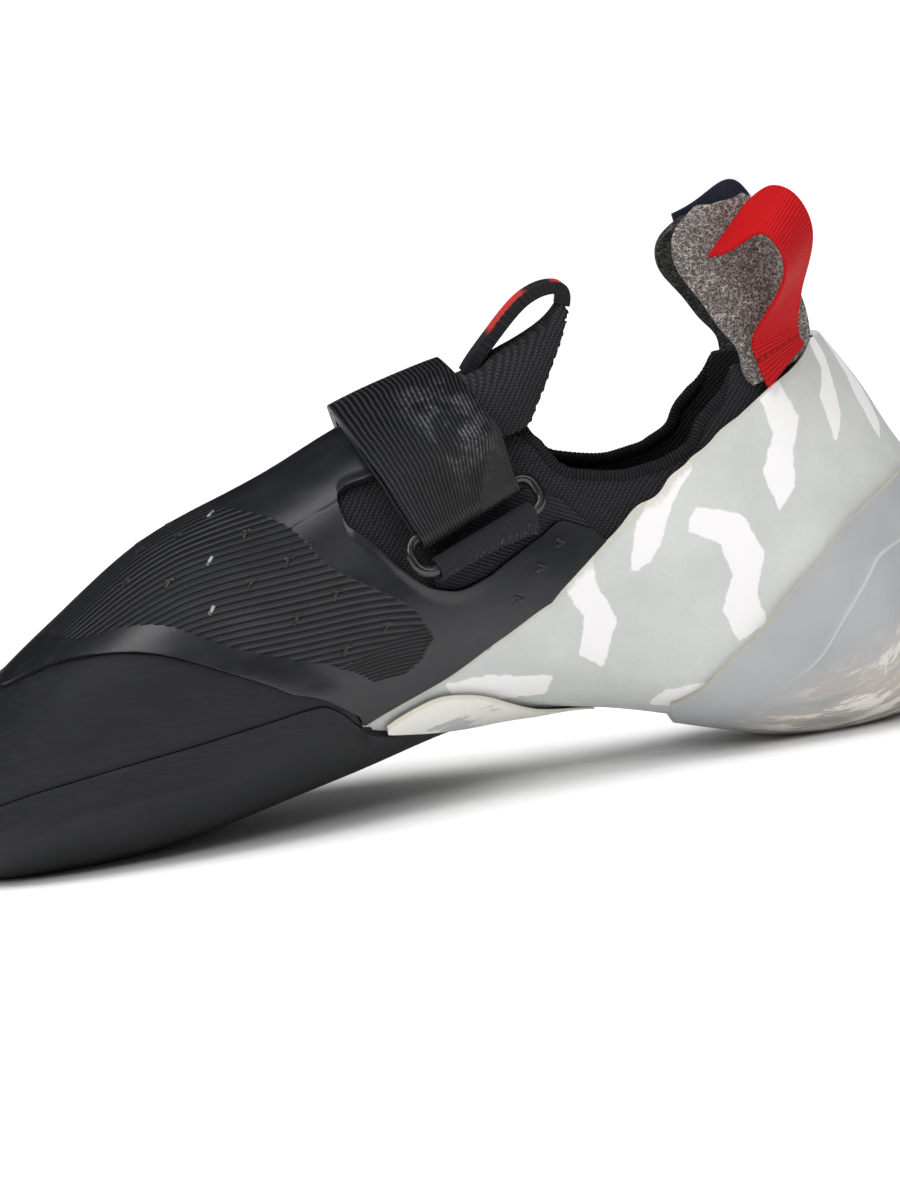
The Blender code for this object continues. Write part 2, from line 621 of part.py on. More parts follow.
def make_tongue():
    """A sock-like flap, sewn round the throat and standing up in front of the ankle."""
    middle = GAP + TONGUE_SLACK + TONGUE / 2
    shares = [j / 5 for j in range(-5, 6)]
    grid = []
    for centre, wing, girth in TONGUE_SEWN:
        grid.append(
            [
                LAST.point(across(centre, wing, u), turned((1 - girth) * sin(pi / 2 * u)), middle)
                for u in shares
            ]
        )
    for centre_x, centre_z, wing_x, wing_y, wing_z in TONGUE_FREE:
        grid.append(
            [
                (
                    across(centre_x, wing_x, u) * LENGTH,
                    wing_y * BALL * sin(pi / 2 * u),
                    STAND + across(centre_z, wing_z, u) * INSTEP,
                )
                for u in shares
            ]
        )
    slab("tongue", grid, TONGUE, (0.018, 0.018, 0.02), 0.95)


def make_tongue_loop():
    """A folded tape from the front of the tongue to its tip, open for a finger."""
    path = [(x * LENGTH, STAND + z * INSTEP) for x, z in TONGUE_LOOP]
    grid = [[(x, LOOP_WIDTH * j / 2, z) for j in (-1, 0, 1)] for x, z in path]
    slab("tongue_loop", grid, CORD_TAPE, (0.02, 0.02, 0.022), 0.9)


# Closure


def ring_frame():
    """Centre of the ring's upper bar, its direction, the way out and the way down to the other bar."""
    patch_out = GAP + PATCH
    reach = patch_out + GAP + STRAP_LIFT + STRAP + GAP + RING_WIRE / 2
    front, rear = (LAST.point(*place, reach) for place in (RING_FRONT, RING_REAR))
    along = (rear - front) / np.linalg.norm(rear - front)
    middle = [(a + b) / 2 for a, b in zip(RING_FRONT, RING_REAR)]
    out = LAST.normal(*middle)
    out -= along * (out @ along)
    out /= np.linalg.norm(out)
    down = np.cross(along, out)
    down *= -np.sign(down[2])
    bulge = LAST.point(*middle, reach) - (front + rear) / 2
    centre = (front + rear) / 2 + out * max(bulge @ out, 0)
    return centre, along, out, down


def wrap(centre, along, out, down, width, radius, start, end):
    """Rows of a webbing round a bar, from under it to over it."""
    rows = []
    for k in range(TURN_STEPS + 1):
        turn = radians(start + (end - start) * k / TURN_STEPS)
        spot = centre + radius * (-cos(turn) * out + sin(turn) * down)
        rows.append([spot + along * width * j / 4 for j in (-2, -1, 0, 1, 2)])
    return rows


def strap_rows(offset, settle, rise):
    """One run of the strap over the instep, lateral end first. It is lower by settle where it
    starts, and higher by rise where it reaches the bar."""
    front_s, front_t, rear_s, rear_t = (natural_spline(column) for column in zip(*STRAP_RUN))
    rows = []
    for k in range(STRAP_STEPS + 1):
        t = (len(STRAP_RUN) - 1) * k / STRAP_STEPS
        lift = offset - settle * (1 - smooth_step(0, STRAP_SETTLES, k / STRAP_STEPS))
        lift += rise * smooth_step(STRAP_RISES, 1, k / STRAP_STEPS)
        row = []
        for j in range(5):
            s = front_s(t) + (rear_s(t) - front_s(t)) * j / 4
            turn = front_t(t) + (rear_t(t) - front_t(t)) * j / 4
            row.append(LAST.point(s, turned(turn), lift))
        rows.append(row)
    return rows


def make_strap():
    """Sewn down on the lateral side, it runs over the instep, round the ring and back over itself."""
    centre, along, out, down = ring_frame()
    beneath = max(PATCH, TONGUE + 2 * TONGUE_SLACK)
    under = GAP + beneath + GAP + STRAP_LIFT + STRAP / 2
    over = under + STRAP + GAP + STRAP_LIFT
    settle = beneath - PATCH + STRAP_LIFT
    radius = RING_WIRE / 2 + GAP + STRAP / 2
    lower = strap_rows(under, settle, 0.0)
    upper = strap_rows(over, settle, RING_WIRE + GAP)
    width = RING_LENGTH - RING_WIRE - 2 * RING_CORNER - 2 * GAP
    turn = wrap(centre, along, out, down, width, radius, 0, 180)
    grid = lower + turn + upper[::-1]
    slab("strap", grid, STRAP, (0.03, 0.03, 0.033), 0.5)


def ring_path():
    """The middle line of the ring's wire, a rectangle with round corners."""
    centre, along, out, down = ring_frame()
    half_long = (RING_LENGTH - RING_WIRE) / 2
    half_short = (RING_HEIGHT - RING_WIRE) / 2
    corner = min(RING_CORNER, half_short)
    middle = centre + down * half_short
    path = []
    for quarter in range(4):
        turn_x = (1, -1, -1, 1)[quarter]
        turn_y = (1, 1, -1, -1)[quarter]
        spot = middle + along * turn_x * (half_long - corner) + down * turn_y * (half_short - corner)
        for k in range(6):
            angle = pi / 2 * (quarter + k / 5)
            path.append(spot + corner * (cos(angle) * along + sin(angle) * down))
    return path


def make_ring():
    tube("strap_ring", ring_path(), RING_WIRE / 2, 8, (0.015, 0.015, 0.017), 0.25, 0.0)


def make_ring_keeper():
    """A webbing folded round the ring's lower bar, both ends sewn down at the patch's arm."""
    centre, along, out, down = ring_frame()
    bar = centre + down * (RING_HEIGHT - RING_WIRE)
    radius = RING_WIRE / 2 + GAP + WEB / 2

    def sewn(offset):
        row = []
        for j in range(5):
            s = KEEPER_FRONT[0] + (KEEPER_REAR[0] - KEEPER_FRONT[0]) * j / 4
            g = KEEPER_FRONT[1] + (KEEPER_REAR[1] - KEEPER_FRONT[1]) * j / 4
            row.append(LAST.point(s, g, offset))
        return row

    inner = GAP + WEB / 2
    outer = inner + WEB + GAP
    turn = wrap(bar, along, out, down, KEEPER_WIDTH, radius, *KEEPER_TURN)
    grid = [sewn(inner), *turn, sewn(outer)]
    slab("ring_keeper", grid, WEB, (0.02, 0.02, 0.022), 0.85)


# Heel tabs and pull loops


def make_heel_tab(name, side, colour):
    """A soft ear on the outside of the rim, beside the back of the heel."""
    columns = 5
    middle = GAP + TAB / 2
    grid = []
    for front_s, front_g, rear_s, rear_g in TAB_SEWN:
        row = []
        for j in range(columns + 1):
            share = j / columns
            s = front_s + (rear_s - front_s) * share
            g = front_g + (rear_g - front_g) * share
            row.append(LAST.point(s, side * g, middle))
        grid.append(row)
    for fx, fy, fz, rx, ry, rz in TAB_FREE:
        row = []
        for j in range(columns + 1):
            share = j / columns
            x = (fx + (rx - fx) * share) * LENGTH
            y = (fy + (ry - fy) * share) * BALL + TAB_BULGE * 4 * share * (1 - share)
            z = STAND + (fz + (rz - fz) * share) * HEEL
            row.append((x, side * y, z))
        grid.append(row)
    slab(name, grid, TAB, colour, 0.95)


def make_pull_loop(name, side, table, colour):
    """A ribbon from the top of a heel tab, out and round to its foot."""
    columns = [natural_spline(column) for column in zip(*table)]
    steps = 2 * (len(table) - 1)
    grid = []
    for k in range(steps + 1):
        lx, ly, lz, ux, uy, uz = (column(k / 2) for column in columns)
        low = np.array((lx * LENGTH, side * ly * BALL, STAND + lz * HEEL))
        high = np.array((ux * LENGTH, side * uy * BALL, STAND + uz * HEEL))
        grid.append([low + (high - low) * j / 2 for j in range(3)])
    slab(name, grid, RIBBON, colour, 0.6)


def main():
    for obj in list(bpy.data.objects):
        bpy.data.objects.remove(obj)
    make_upper()
    make_insole()
    make_outsole()
    make_toe_rand()
    make_forefoot_patch()
    make_heel_rand()
    make_arch_band()
    make_heel_patch()
    make_tongue()
    make_tongue_loop()
    make_strap()
    make_ring()
    make_ring_keeper()
    make_heel_tab("heel_tab_medial", MEDIAL, (0.20, 0.18, 0.17))
    make_heel_tab("heel_tab_lateral", LATERAL, (0.12, 0.12, 0.12))
    make_pull_loop("pull_loop_medial", MEDIAL, MEDIAL_LOOP, (0.55, 0.01, 0.02))
    make_pull_loop("pull_loop_lateral", LATERAL, LATERAL_LOOP, (0.02, 0.02, 0.04))


main()
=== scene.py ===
# %% [markdown]
# # A climbing shoe
# This lesson dresses a climbing shoe that stands empty on its sole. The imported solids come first,
# as a fixed frame, and each visible layer is then modelled over them. All of it is in metres: the
# toe points to -X, the side that the camera sees faces -Y, and the floor is at z = 0.

# %% The frame
from math import cos, pi, radians, sin

import bpy
import numpy as np
from mathutils import Matrix, Vector


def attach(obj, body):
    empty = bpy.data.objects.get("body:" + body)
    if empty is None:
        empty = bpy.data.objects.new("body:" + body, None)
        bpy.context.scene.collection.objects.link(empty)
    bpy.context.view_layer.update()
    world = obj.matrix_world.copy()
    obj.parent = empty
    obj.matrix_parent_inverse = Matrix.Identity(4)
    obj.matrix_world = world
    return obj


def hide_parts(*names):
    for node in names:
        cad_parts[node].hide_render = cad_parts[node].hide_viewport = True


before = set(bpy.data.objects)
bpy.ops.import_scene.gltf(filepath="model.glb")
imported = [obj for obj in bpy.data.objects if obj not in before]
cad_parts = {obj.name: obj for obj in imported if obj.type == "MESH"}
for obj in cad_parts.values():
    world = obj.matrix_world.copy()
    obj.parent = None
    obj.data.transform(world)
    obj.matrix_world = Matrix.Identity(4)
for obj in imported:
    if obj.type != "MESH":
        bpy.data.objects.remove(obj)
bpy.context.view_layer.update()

# %% [markdown]
# ## The sizes
# A shoe is built over a last, the shape of the foot. The few sizes below are the ones that the
# solids follow, so the layers modelled here come to lie where the solids are.

# %% Sizes
LENGTH = 0.2455  # back of the heel to the tip of the toe
BALL = 0.089  # width across the ball
INSTEP = 0.0935  # footbed of the forefoot to the top of the instep
HEEL = 0.0905  # footbed of the heel to the rear rim
ARCH = 0.0155  # rise of the sole in front of the heel

WALL = 0.0018
INSOLE = 0.0015
RAND = 0.0016
HEEL_RAND = 0.0017
BAND = 0.0015
SOLE = 0.0040
SOLE_EDGE = 0.0024
PATCH = 0.0018
LIP = 0.0010
TONGUE = 0.0018
STRAP = 0.0015
WEB = 0.0011
TAB = 0.0020
RIBBON = 0.0010
CORD_TAPE = 0.0026
GAP = 0.0003
OVERLAY_GAP = 0.0005
FLAT = 0.0010

RING_WIRE = 0.0028
RING_LENGTH = 0.0375
RING_HEIGHT = 0.0115
RING_CORNER = 0.0035
STRAP_LIFT = 0.0004
TONGUE_SLACK = 0.0006
KEEPER_WIDTH = 0.0270
LOOP_WIDTH = 0.0120

SOLE_OUT = GAP + SOLE
STAND = SOLE_OUT - FLAT
HEEL_PATCH = SOLE_OUT - (GAP + HEEL_RAND + OVERLAY_GAP)
MEDIAL, LATERAL = -1, 1

# %% [markdown]
# ## The last
# Each row of the tables is one station along the foot, from the toe over the instep and round the
# back of the heel to the rear rim. x is a share of the length, z of the instep or heel height and
# y of the ball's width. Between the rows, natural cubic splines keep the form smooth, which a
# hand-placed lattice of points would not do as evenly.

# %% Sections of the last
# top x, top z, bottom x, bottom z, medial y, lateral y, ridge y, keel y, side share, and the
# exponents of the corners: low, up medial, up lateral
FOREFOOT = (
    (-0.873, 0.230, -0.874, 0.387, -0.264, -0.017, -0.146, -0.135, 0.45, 2.2, 2.1, 2.0),
    (-0.853, 0.342, -0.857, 0.077, -0.354, 0.084, -0.157, -0.135, 0.42, 2.5, 2.2, 2.0),
    (-0.812, 0.458, -0.819, 0.000, -0.421, 0.213, -0.157, -0.112, 0.40, 2.7, 2.3, 2.0),
    (-0.745, 0.581, -0.758, 0.000, -0.466, 0.348, -0.146, -0.079, 0.38, 2.8, 2.3, 1.95),
    (-0.668, 0.710, -0.684, 0.077, -0.483, 0.444, -0.124, -0.045, 0.36, 2.8, 2.25, 1.9),
    (-0.595, 0.784, -0.607, 0.300, -0.483, 0.500, -0.101, -0.022, 0.35, 2.7, 2.2, 1.9),
    (-0.523, 0.845, -0.525, 0.560, -0.455, 0.517, -0.067, 0.000, 0.35, 2.6, 2.15, 1.9),
    (-0.452, 0.920, -0.440, 0.810, -0.410, 0.489, -0.045, 0.011, 0.37, 2.5, 2.1, 1.95),
    (-0.387, 0.968, -0.358, 0.960, -0.371, 0.444, -0.022, 0.022, 0.38, 2.4, 2.1, 2.0),
    (-0.334, 0.995, -0.277, 0.900, -0.343, 0.399, 0.000, 0.022, 0.36, 2.4, 2.1, 2.1),
    (-0.297, 1.000, -0.204, 0.650, -0.326, 0.360, 0.000, 0.022, 0.32, 2.4, 2.1, 2.1),
    (-0.273, 0.995, -0.134, 0.310, -0.315, 0.337, 0.000, 0.011, 0.28, 2.4, 2.2, 2.2),
)
REARFOOT = (
    (-0.259, 0.984, -0.061, 0.007, -0.309, 0.320, 0.000, 0.000, 0.27, 2.3, 2.2, 2.2),
    (-0.251, 0.973, 0.012, 0.000, -0.309, 0.315, 0.000, 0.000, 0.27, 2.3, 2.2, 2.2),
    (-0.246, 0.968, 0.073, 0.040, -0.309, 0.315, 0.000, 0.000, 0.31, 2.2, 2.2, 2.2),
    (-0.244, 0.963, 0.110, 0.138, -0.309, 0.309, 0.000, 0.000, 0.35, 2.1, 2.2, 2.2),
    (-0.244, 0.957, 0.122, 0.276, -0.303, 0.303, 0.000, 0.000, 0.38, 2.1, 2.2, 2.2),
    (-0.244, 0.952, 0.120, 0.431, -0.292, 0.292, 0.000, 0.000, 0.41, 2.1, 2.2, 2.2),
    (-0.244, 0.947, 0.100, 0.591, -0.281, 0.281, 0.000, 0.000, 0.44, 2.1, 2.2, 2.2),
    (-0.244, 0.941, 0.075, 0.724, -0.270, 0.270, 0.000, 0.000, 0.46, 2.1, 2.2, 2.2),
    (-0.244, 0.930, 0.054, 0.851, -0.258, 0.258, 0.000, 0.000, 0.48, 2.1, 2.2, 2.2),
    (-0.244, 0.920, 0.022, 1.000, -0.247, 0.247, 0.000, 0.000, 0.50, 2.1, 2.2, 2.2),
)
TIP = (-0.878, 0.139, -0.140)
END = len(FOREFOOT) + len(REARFOOT)  # the last station, at the rear rim
print("stations", END)


# %% Smooth curves through short tables
def natural_spline(values):
    """The natural cubic through values, or rows of values, at 0, 1, 2 and on."""
    values = np.asarray(values, float)
    count = len(values)
    system = np.eye(count)
    right = np.zeros_like(values)
    for i in range(1, count - 1):
        system[i, i - 1 : i + 2] = (1, 4, 1)
        right[i] = 6 * (values[i - 1] - 2 * values[i] + values[i + 1])
    bend = np.linalg.solve(system, right.reshape(count, -1)).reshape(values.shape)

    def at(t):
        t = np.clip(np.asarray(t, float), 0, count - 1)
        i = np.minimum(t.astype(int), count - 2)
        u = (t - i).reshape(t.shape + (1,) * (values.ndim - 1))
        straight = (1 - u) * values[i] + u * values[i + 1]
        return straight + (((1 - u) ** 3 - (1 - u)) * bend[i] + (u**3 - u) * bend[i + 1]) / 6

    return at


def edge_curve(table):
    """A smooth girth for each station that never overshoots the table's rows."""
    s, g = np.array(table, float).T
    run = np.diff(s)
    slope = np.diff(g) / run
    tangent = np.zeros_like(s)
    tangent[0], tangent[-1] = slope[0], slope[-1]
    for i in range(1, len(s) - 1):
        if slope[i - 1] * slope[i] > 0:
            a, b = 2 * run[i] + run[i - 1], run[i] + 2 * run[i - 1]
            tangent[i] = (a + b) / (a / slope[i - 1] + b / slope[i])

    def at(station):
        station = np.clip(np.asarray(station, float), s[0], s[-1])
        i = np.clip(np.searchsorted(s, station, "right") - 1, 0, len(run) - 1)
        u = (station - s[i]) / run[i]
        start = (1 + 2 * u) * (1 - u) ** 2 * g[i] + u * (1 - u) ** 2 * run[i] * tangent[i]
        end = u * u * (3 - 2 * u) * g[i + 1] + u * u * (u - 1) * run[i] * tangent[i + 1]
        return start + end

    return at


def smooth_step(low, high, value):
    t = np.clip((np.asarray(value, float) - low) / (high - low), 0, 1)
    return t * t * (3 - 2 * t)


def unit(vectors):
    return vectors / np.linalg.norm(vectors, axis=-1, keepdims=True)


def run_length(points):
    """How far along a path of points each one lies."""
    steps = np.linalg.norm(np.diff(points, axis=0), axis=1)
    return np.concatenate([[0], np.cumsum(steps)])


# %% The last as a surface
ROWS = [(*row[:3], STAND + row[3] * ARCH, *row[4:]) for row in FOREFOOT]
ROWS += [(*row[:3], STAND + row[3] * HEEL, *row[4:]) for row in REARFOOT]
ROWS = np.array(ROWS)
TIP_AT = (TIP[0] * LENGTH, STAND + TIP[1] * INSTEP, TIP[2] * BALL)


def through(first, tip, second):
    return natural_spline([*first[::-1], tip, *second])


profile_x = through(ROWS[:, 2] * LENGTH, TIP_AT[0], ROWS[:, 0] * LENGTH)
profile_z = through(ROWS[:, 3], TIP_AT[1], STAND + ROWS[:, 1] * INSTEP)
outline_y = through(ROWS[:, 4] * BALL, TIP_AT[2], ROWS[:, 5] * BALL)
ridge_y, keel_y = (natural_spline([TIP_AT[2], *(ROWS[:, i] * BALL)]) for i in (6, 7))
side_share, low_power, medial_power, lateral_power = (
    natural_spline([ROWS[0, i], *ROWS[:, i]]) for i in (8, 9, 10, 11)
)


def on_last(s, g):
    """Places on the last. s is the station, g the girth: 0 under the foot, -1 or 1 on the ridge."""
    s, g = np.broadcast_arrays(np.asarray(s, float), np.asarray(g, float))
    angle = pi * np.abs(g)
    lower = angle <= pi / 2
    power = np.where(lower, low_power(s), np.where(g < 0, medial_power(s), lateral_power(s)))
    up, out = np.cos(angle), np.sin(angle)
    reach = (np.abs(up) ** power + np.abs(out) ** power) ** (-1 / power)
    side = side_share(s)
    height = np.where(lower, side * (1 - reach * up), side - (1 - side) * reach * up)
    middle = np.where(lower, keel_y(s), ridge_y(s))
    outline = outline_y(END + np.where(g < 0, -s, s))
    y = middle + (outline - middle) * reach * out
    x = profile_x(END - s) + (profile_x(END + s) - profile_x(END - s)) * height
    z = profile_z(END - s) + (profile_z(END + s) - profile_z(END - s)) * height
    return np.stack([x, y, z], -1)


def off_last(s, g):
    """Straight out of the last."""
    s, g = np.broadcast_arrays(np.asarray(s, float), np.asarray(g, float))
    step = 1e-3
    s = np.clip(s, 0.03, END)
    along = on_last(np.minimum(s + step, END), g) - on_last(s - step, g)
    around = on_last(s, g + step) - on_last(s, g - step)
    return unit(np.cross(around, along))


def lifted(s, g, offset=0.0):
    s, g, offset = np.broadcast_arrays(s, g, offset)
    return on_last(s, g) + off_last(s, g) * np.asarray(offset)[..., None]


def clear(edge, s, distance):
    """How much more girth keeps this distance from an edge."""
    g = edge(s)
    step = 1e-3
    around = (on_last(s, g + step) - on_last(s, g - step)) / (2 * step)
    low, high = np.maximum(s - 0.02, 0.02), np.minimum(s + 0.02, END)
    along = on_last(high, edge(high)) - on_last(low, edge(low))
    along /= np.maximum(np.linalg.norm(along, axis=-1, keepdims=True), 1e-9)
    across = around - along * np.sum(around * along, -1, keepdims=True)
    size = np.linalg.norm(across, axis=-1)
    return distance / np.maximum(size, 0.15 * np.linalg.norm(around, axis=-1))


def above(edge, distance):
    """An edge moved this far up the last."""
    return lambda s: np.clip(edge(s) + clear(edge, s, distance), 0, 1)


print("last", np.round(on_last(np.array([3.0, 7.0, 14.0]), np.array([1.0, -0.5, 0.0])), 4).tolist())

# %% [markdown]
# ## Edges on the last
# The pieces of the real shoe are cut flat and lasted, so what shows is their edges. Each is a
# short table of stations and girths for one side.

# %% Edge tables
RIM = edge_curve((
    (8.70, 1.00), (9.20, 0.905), (9.90, 0.835), (11.05, 0.785), (11.33, 0.76), (11.55, 0.72),
    (11.90, 0.71), (14.00, 0.715), (16.00, 0.69), (18.50, 0.62), (20.50, 0.53), (22.00, 0.40),
))
BOARD = edge_curve((
    (2.20, 0.000), (2.80, 0.150), (3.30, 0.250), (13.10, 0.250), (13.70, 0.180), (14.40, 0.000),
))
SOLE_TOP = edge_curve((
    (0.30, 1.000), (0.50, 0.740), (1.00, 0.580), (1.80, 0.522), (2.70, 0.507), (3.70, 0.500),
    (4.50, 0.486), (5.55, 0.464), (6.30, 0.450), (7.05, 0.428), (7.25, 0.392), (7.50, 0.312),
    (8.10, 0.225), (8.50, 0.168), (8.90, 0.100), (9.15, 0.000),
))
ARC_START, ARC_END = 2.80, 7.50  # stations between which the patch's lip crosses the side
TOE_ARC = edge_curve((
    (2.80, 1.000), (2.90, 0.915), (3.02, 0.855), (3.45, 0.806), (3.90, 0.768), (4.45, 0.715),
    (5.20, 0.649), (5.90, 0.585), (6.60, 0.516), (7.05, 0.452), (7.50, 0.345),
))
HEEL_LINE = edge_curve((
    (7.50, 0.318), (8.50, 0.342), (9.40, 0.41), (10.50, 0.525), (12.00, 0.625), (13.50, 0.675),
    (15.00, 0.685), (17.00, 0.655), (19.00, 0.575), (20.30, 0.485), (21.20, 0.38), (22.00, 0.16),
))
BAY_LOW = edge_curve((
    (7.75, 0.760), (7.757, 0.735), (7.775, 0.716), (7.81, 0.702), (7.90, 0.686), (8.05, 0.658),
    (8.35, 0.595), (8.72, 0.545), (9.04, 0.531), (9.40, 0.540), (9.85, 0.565), (10.45, 0.599),
    (11.05, 0.629), (11.50, 0.626), (11.80, 0.608),
))
BAY_TOP = edge_curve((
    (7.75, 0.760), (7.757, 0.768), (7.78, 0.774), (7.90, 0.777), (8.20, 0.770), (8.70, 0.768),
))
BAND_TOP = edge_curve((
    (7.75, 0.302), (7.90, 0.310), (8.35, 0.318), (8.90, 0.288), (9.70, 0.175), (10.40, 0.090),
))
HEEL_PATCH_TOP = edge_curve((
    (11.50, 0.24), (12.00, 0.32), (12.50, 0.40), (13.00, 0.465), (13.60, 0.512), (14.60, 0.53),
    (16.00, 0.508), (17.00, 0.455), (18.00, 0.365), (18.60, 0.28), (19.00, 0.19), (19.30, 0.00),
))

print("half way", [round(float(edge(11.0)), 3) for edge in (RIM, HEEL_LINE, BAY_LOW)])

# %% [markdown]
# ## A sheet over the last
# Most pieces start as Blender's grid primitive. Its vertices are laid on the last between two
# edges, which keeps the grid's tidy rows, and it then gets its thickness with Solidify and its
# worn edges with Bevel. Each piece also keeps a UV map of station and girth, so that a pattern can
# follow the foot: u is the station divided by 22, and v is 0.5 under the foot and 0 or 1 on top.


# %% Helpers for making pieces
def deselect():
    if bpy.context.mode != "OBJECT":
        bpy.ops.object.mode_set(mode="OBJECT")
    bpy.ops.object.select_all(action="DESELECT")


def choose(*objects):
    deselect()
    for obj in objects:
        obj.select_set(True)
    bpy.context.view_layer.objects.active = objects[0]
    return objects[0]


def apply_modifier(obj, kind, **settings):
    choose(obj)
    modifier = obj.modifiers.new(kind.title(), kind)
    for key, value in settings.items():
        setattr(modifier, key, value)
    bpy.ops.object.modifier_apply(modifier=modifier.name)


def grid_piece(name, points, uvs, flip=False):
    """Blender's grid primitive with its vertices moved to rows of points."""
    rows, columns = points.shape[:2]
    deselect()
    bpy.ops.mesh.primitive_grid_add(x_subdivisions=columns - 1, y_subdivisions=rows - 1, size=1)
    obj = bpy.context.object
    obj.name = obj.data.name = name
    obj.data.vertices.foreach_set("co", np.asarray(points, np.float32).ravel())
    corner = np.empty(len(obj.data.loops), np.int32)
    obj.data.loops.foreach_get("vertex_index", corner)
    flat = np.asarray(uvs, np.float32).reshape(-1, 2)
    obj.data.uv_layers.active.data.foreach_set("uv", flat[corner].ravel())
    bpy.ops.object.mode_set(mode="EDIT")
    bpy.ops.mesh.select_all(action="SELECT")
    bpy.ops.mesh.remove_doubles(threshold=1e-6)
    bpy.ops.mesh.dissolve_degenerate(threshold=1e-6)
    if flip:
        bpy.ops.mesh.flip_normals()
    bpy.ops.object.mode_set(mode="OBJECT")
    obj.data.update()
    return obj


def last_sheet(name, rows, low, high, columns, offset):
    """A sheet between two edges, given as girths for each station."""
    s = np.repeat(np.asarray(rows)[:, None], columns, 1)
    share = np.linspace(0, 1, columns)[None, :]
    g = low(s) + (high(s) - low(s)) * share
    out = offset(s, g) if callable(offset) else offset
    points = lifted(s, g, out)
    points[..., 2] = np.maximum(points[..., 2], 0)
    obj = grid_piece(name, points, np.stack([s / END, (g + 1) / 2], -1))
    middle = obj.data.polygons[len(obj.data.polygons) // 2]
    u = obj.data.uv_layers.active.data[middle.loop_indices[0]].uv
    if Vector(off_last(u[0] * END, u[1] * 2 - 1)).dot(middle.normal) < 0:
        obj.data.flip_normals()
    return obj


def side_edge(edge, side):
    return lambda s: side * edge(s)


def under_sheet(name, rows, edge, columns, offset):
    """A sheet under the foot, from an edge on one side to the same edge on the other."""
    return last_sheet(name, rows, side_edge(edge, MEDIAL), edge, columns, offset)


def side_sheets(name, rows, low, high, columns, offset):
    """The same sheet on the medial and on the lateral side."""
    return [
        last_sheet(name, rows, side_edge(low, k), side_edge(high, k), columns, offset)
        for k in (MEDIAL, LATERAL)
    ]


def mesh_uv(across, along):
    return np.stack(np.meshgrid(across, along), -1)


def bent_sheet(name, points, width, length):
    """A free sheet through rows of points. Its UV map is in metres: u across, v along."""
    rows, columns = points.shape[:2]
    uv = mesh_uv(np.linspace(0, width, columns), np.linspace(0, length, rows))
    return grid_piece(name, points, uv)


def thicken(obj, thickness, side=-1.0, edge=0.0004, segments=3, angle=50):
    """Gives a sheet its thickness and rounds its cut edges."""
    apply_modifier(obj, "SOLIDIFY", thickness=thickness, offset=side, use_even_offset=False)
    if edge:
        apply_modifier(
            obj, "BEVEL", width=edge, segments=segments, limit_method="ANGLE",
            angle_limit=radians(angle), harden_normals=False, miter_outer="MITER_ARC",
        )
    return obj


def paint(obj, **fields):
    """Stores a number for each corner of the mesh, worked out from its station, girth and place."""
    mesh = obj.data
    count = len(mesh.loops)
    uv = np.empty(2 * count, np.float32)
    mesh.uv_layers.active.data.foreach_get("uv", uv)
    corner = np.empty(count, np.int32)
    mesh.loops.foreach_get("vertex_index", corner)
    place = np.empty(3 * len(mesh.vertices), np.float32)
    mesh.vertices.foreach_get("co", place)
    u, v = uv.reshape(-1, 2).T.astype(float)
    place = place.reshape(-1, 3)[corner].astype(float)
    for name, field in fields.items():
        layer = mesh.attributes.new(name, "FLOAT", "CORNER")
        values = field(u, v, place)
        layer.data.foreach_set("value", np.asarray(values, np.float32))
    return obj


def away_from(points, outline):
    """Distance to a closed outline, negative inside it."""
    points = np.asarray(points, float)
    outline = np.asarray(outline, float)
    best = np.full(len(points), np.inf)
    inside = np.zeros(len(points), bool)
    for a, b in zip(outline, np.roll(outline, -1, 0)):
        along = b - a
        t = np.clip((points - a) @ along / (along @ along), 0, 1)
        best = np.minimum(best, np.linalg.norm(points - a - t[:, None] * along, axis=1))
        crosses = (a[1] > points[:, 1]) != (b[1] > points[:, 1])
        rise = b[1] - a[1] if b[1] != a[1] else 1e-9
        inside ^= crosses & (points[:, 0] < a[0] + (points[:, 1] - a[1]) / rise * along[0])
    return np.where(inside, -best, best)


def finished(obj, material, smooth=50):
    """Shades a piece, gives it its material and puts it on the shoe."""
    choose(obj)
    bpy.ops.object.shade_smooth_by_angle(angle=radians(smooth))
    obj.data.materials.clear()
    obj.data.materials.append(material)
    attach(obj, "root")
    size = sum(len(p.vertices) - 2 for p in obj.data.polygons)
    print(f"{obj.name}: {size} triangles")
    return obj


def joined(name, *objects):
    """Several sheets as one, welded where they meet."""
    choose(*objects)
    bpy.ops.object.join()
    obj = bpy.context.object
    obj.name = obj.data.name = name
    bpy.ops.object.mode_set(mode="EDIT")
    bpy.ops.mesh.select_all(action="SELECT")
    bpy.ops.mesh.remove_doubles(threshold=2e-6)
    bpy.ops.object.mode_set(mode="OBJECT")
    return obj


def faced_outward(obj):
    choose(obj)
    bpy.ops.object.mode_set(mode="EDIT")
    bpy.ops.mesh.select_all(action="SELECT")
    bpy.ops.mesh.normals_make_consistent(inside=False)
    bpy.ops.object.mode_set(mode="OBJECT")


def stations(first, last, step, *own):
    count = max(int(round((last - first) / step)), 1)
    return sorted({round(s, 5) for s in (*np.linspace(first, last, count + 1), *own)})


# %% [markdown]
# ## Camera
# The photograph was taken from the shoe's inner side, a little in front of it and a little above.
# There the shoe stands on its toe with the heel in the air. Here it stands on its whole sole, so
# the camera is rolled by the same angle, which keeps the view of the shoe itself.

# %% Camera
IMAGE = (900, 1200)
PIXEL = 0.00024  # metres across one pixel, at the shoe
DISTANCE = 1.4
AHEAD, ABOVE, ROLL = radians(3.0), radians(7.6), radians(9.25)
HEEL_PIXEL = (860, 733)
HEEL_POINT = Vector((0, -0.020, -0.0005))

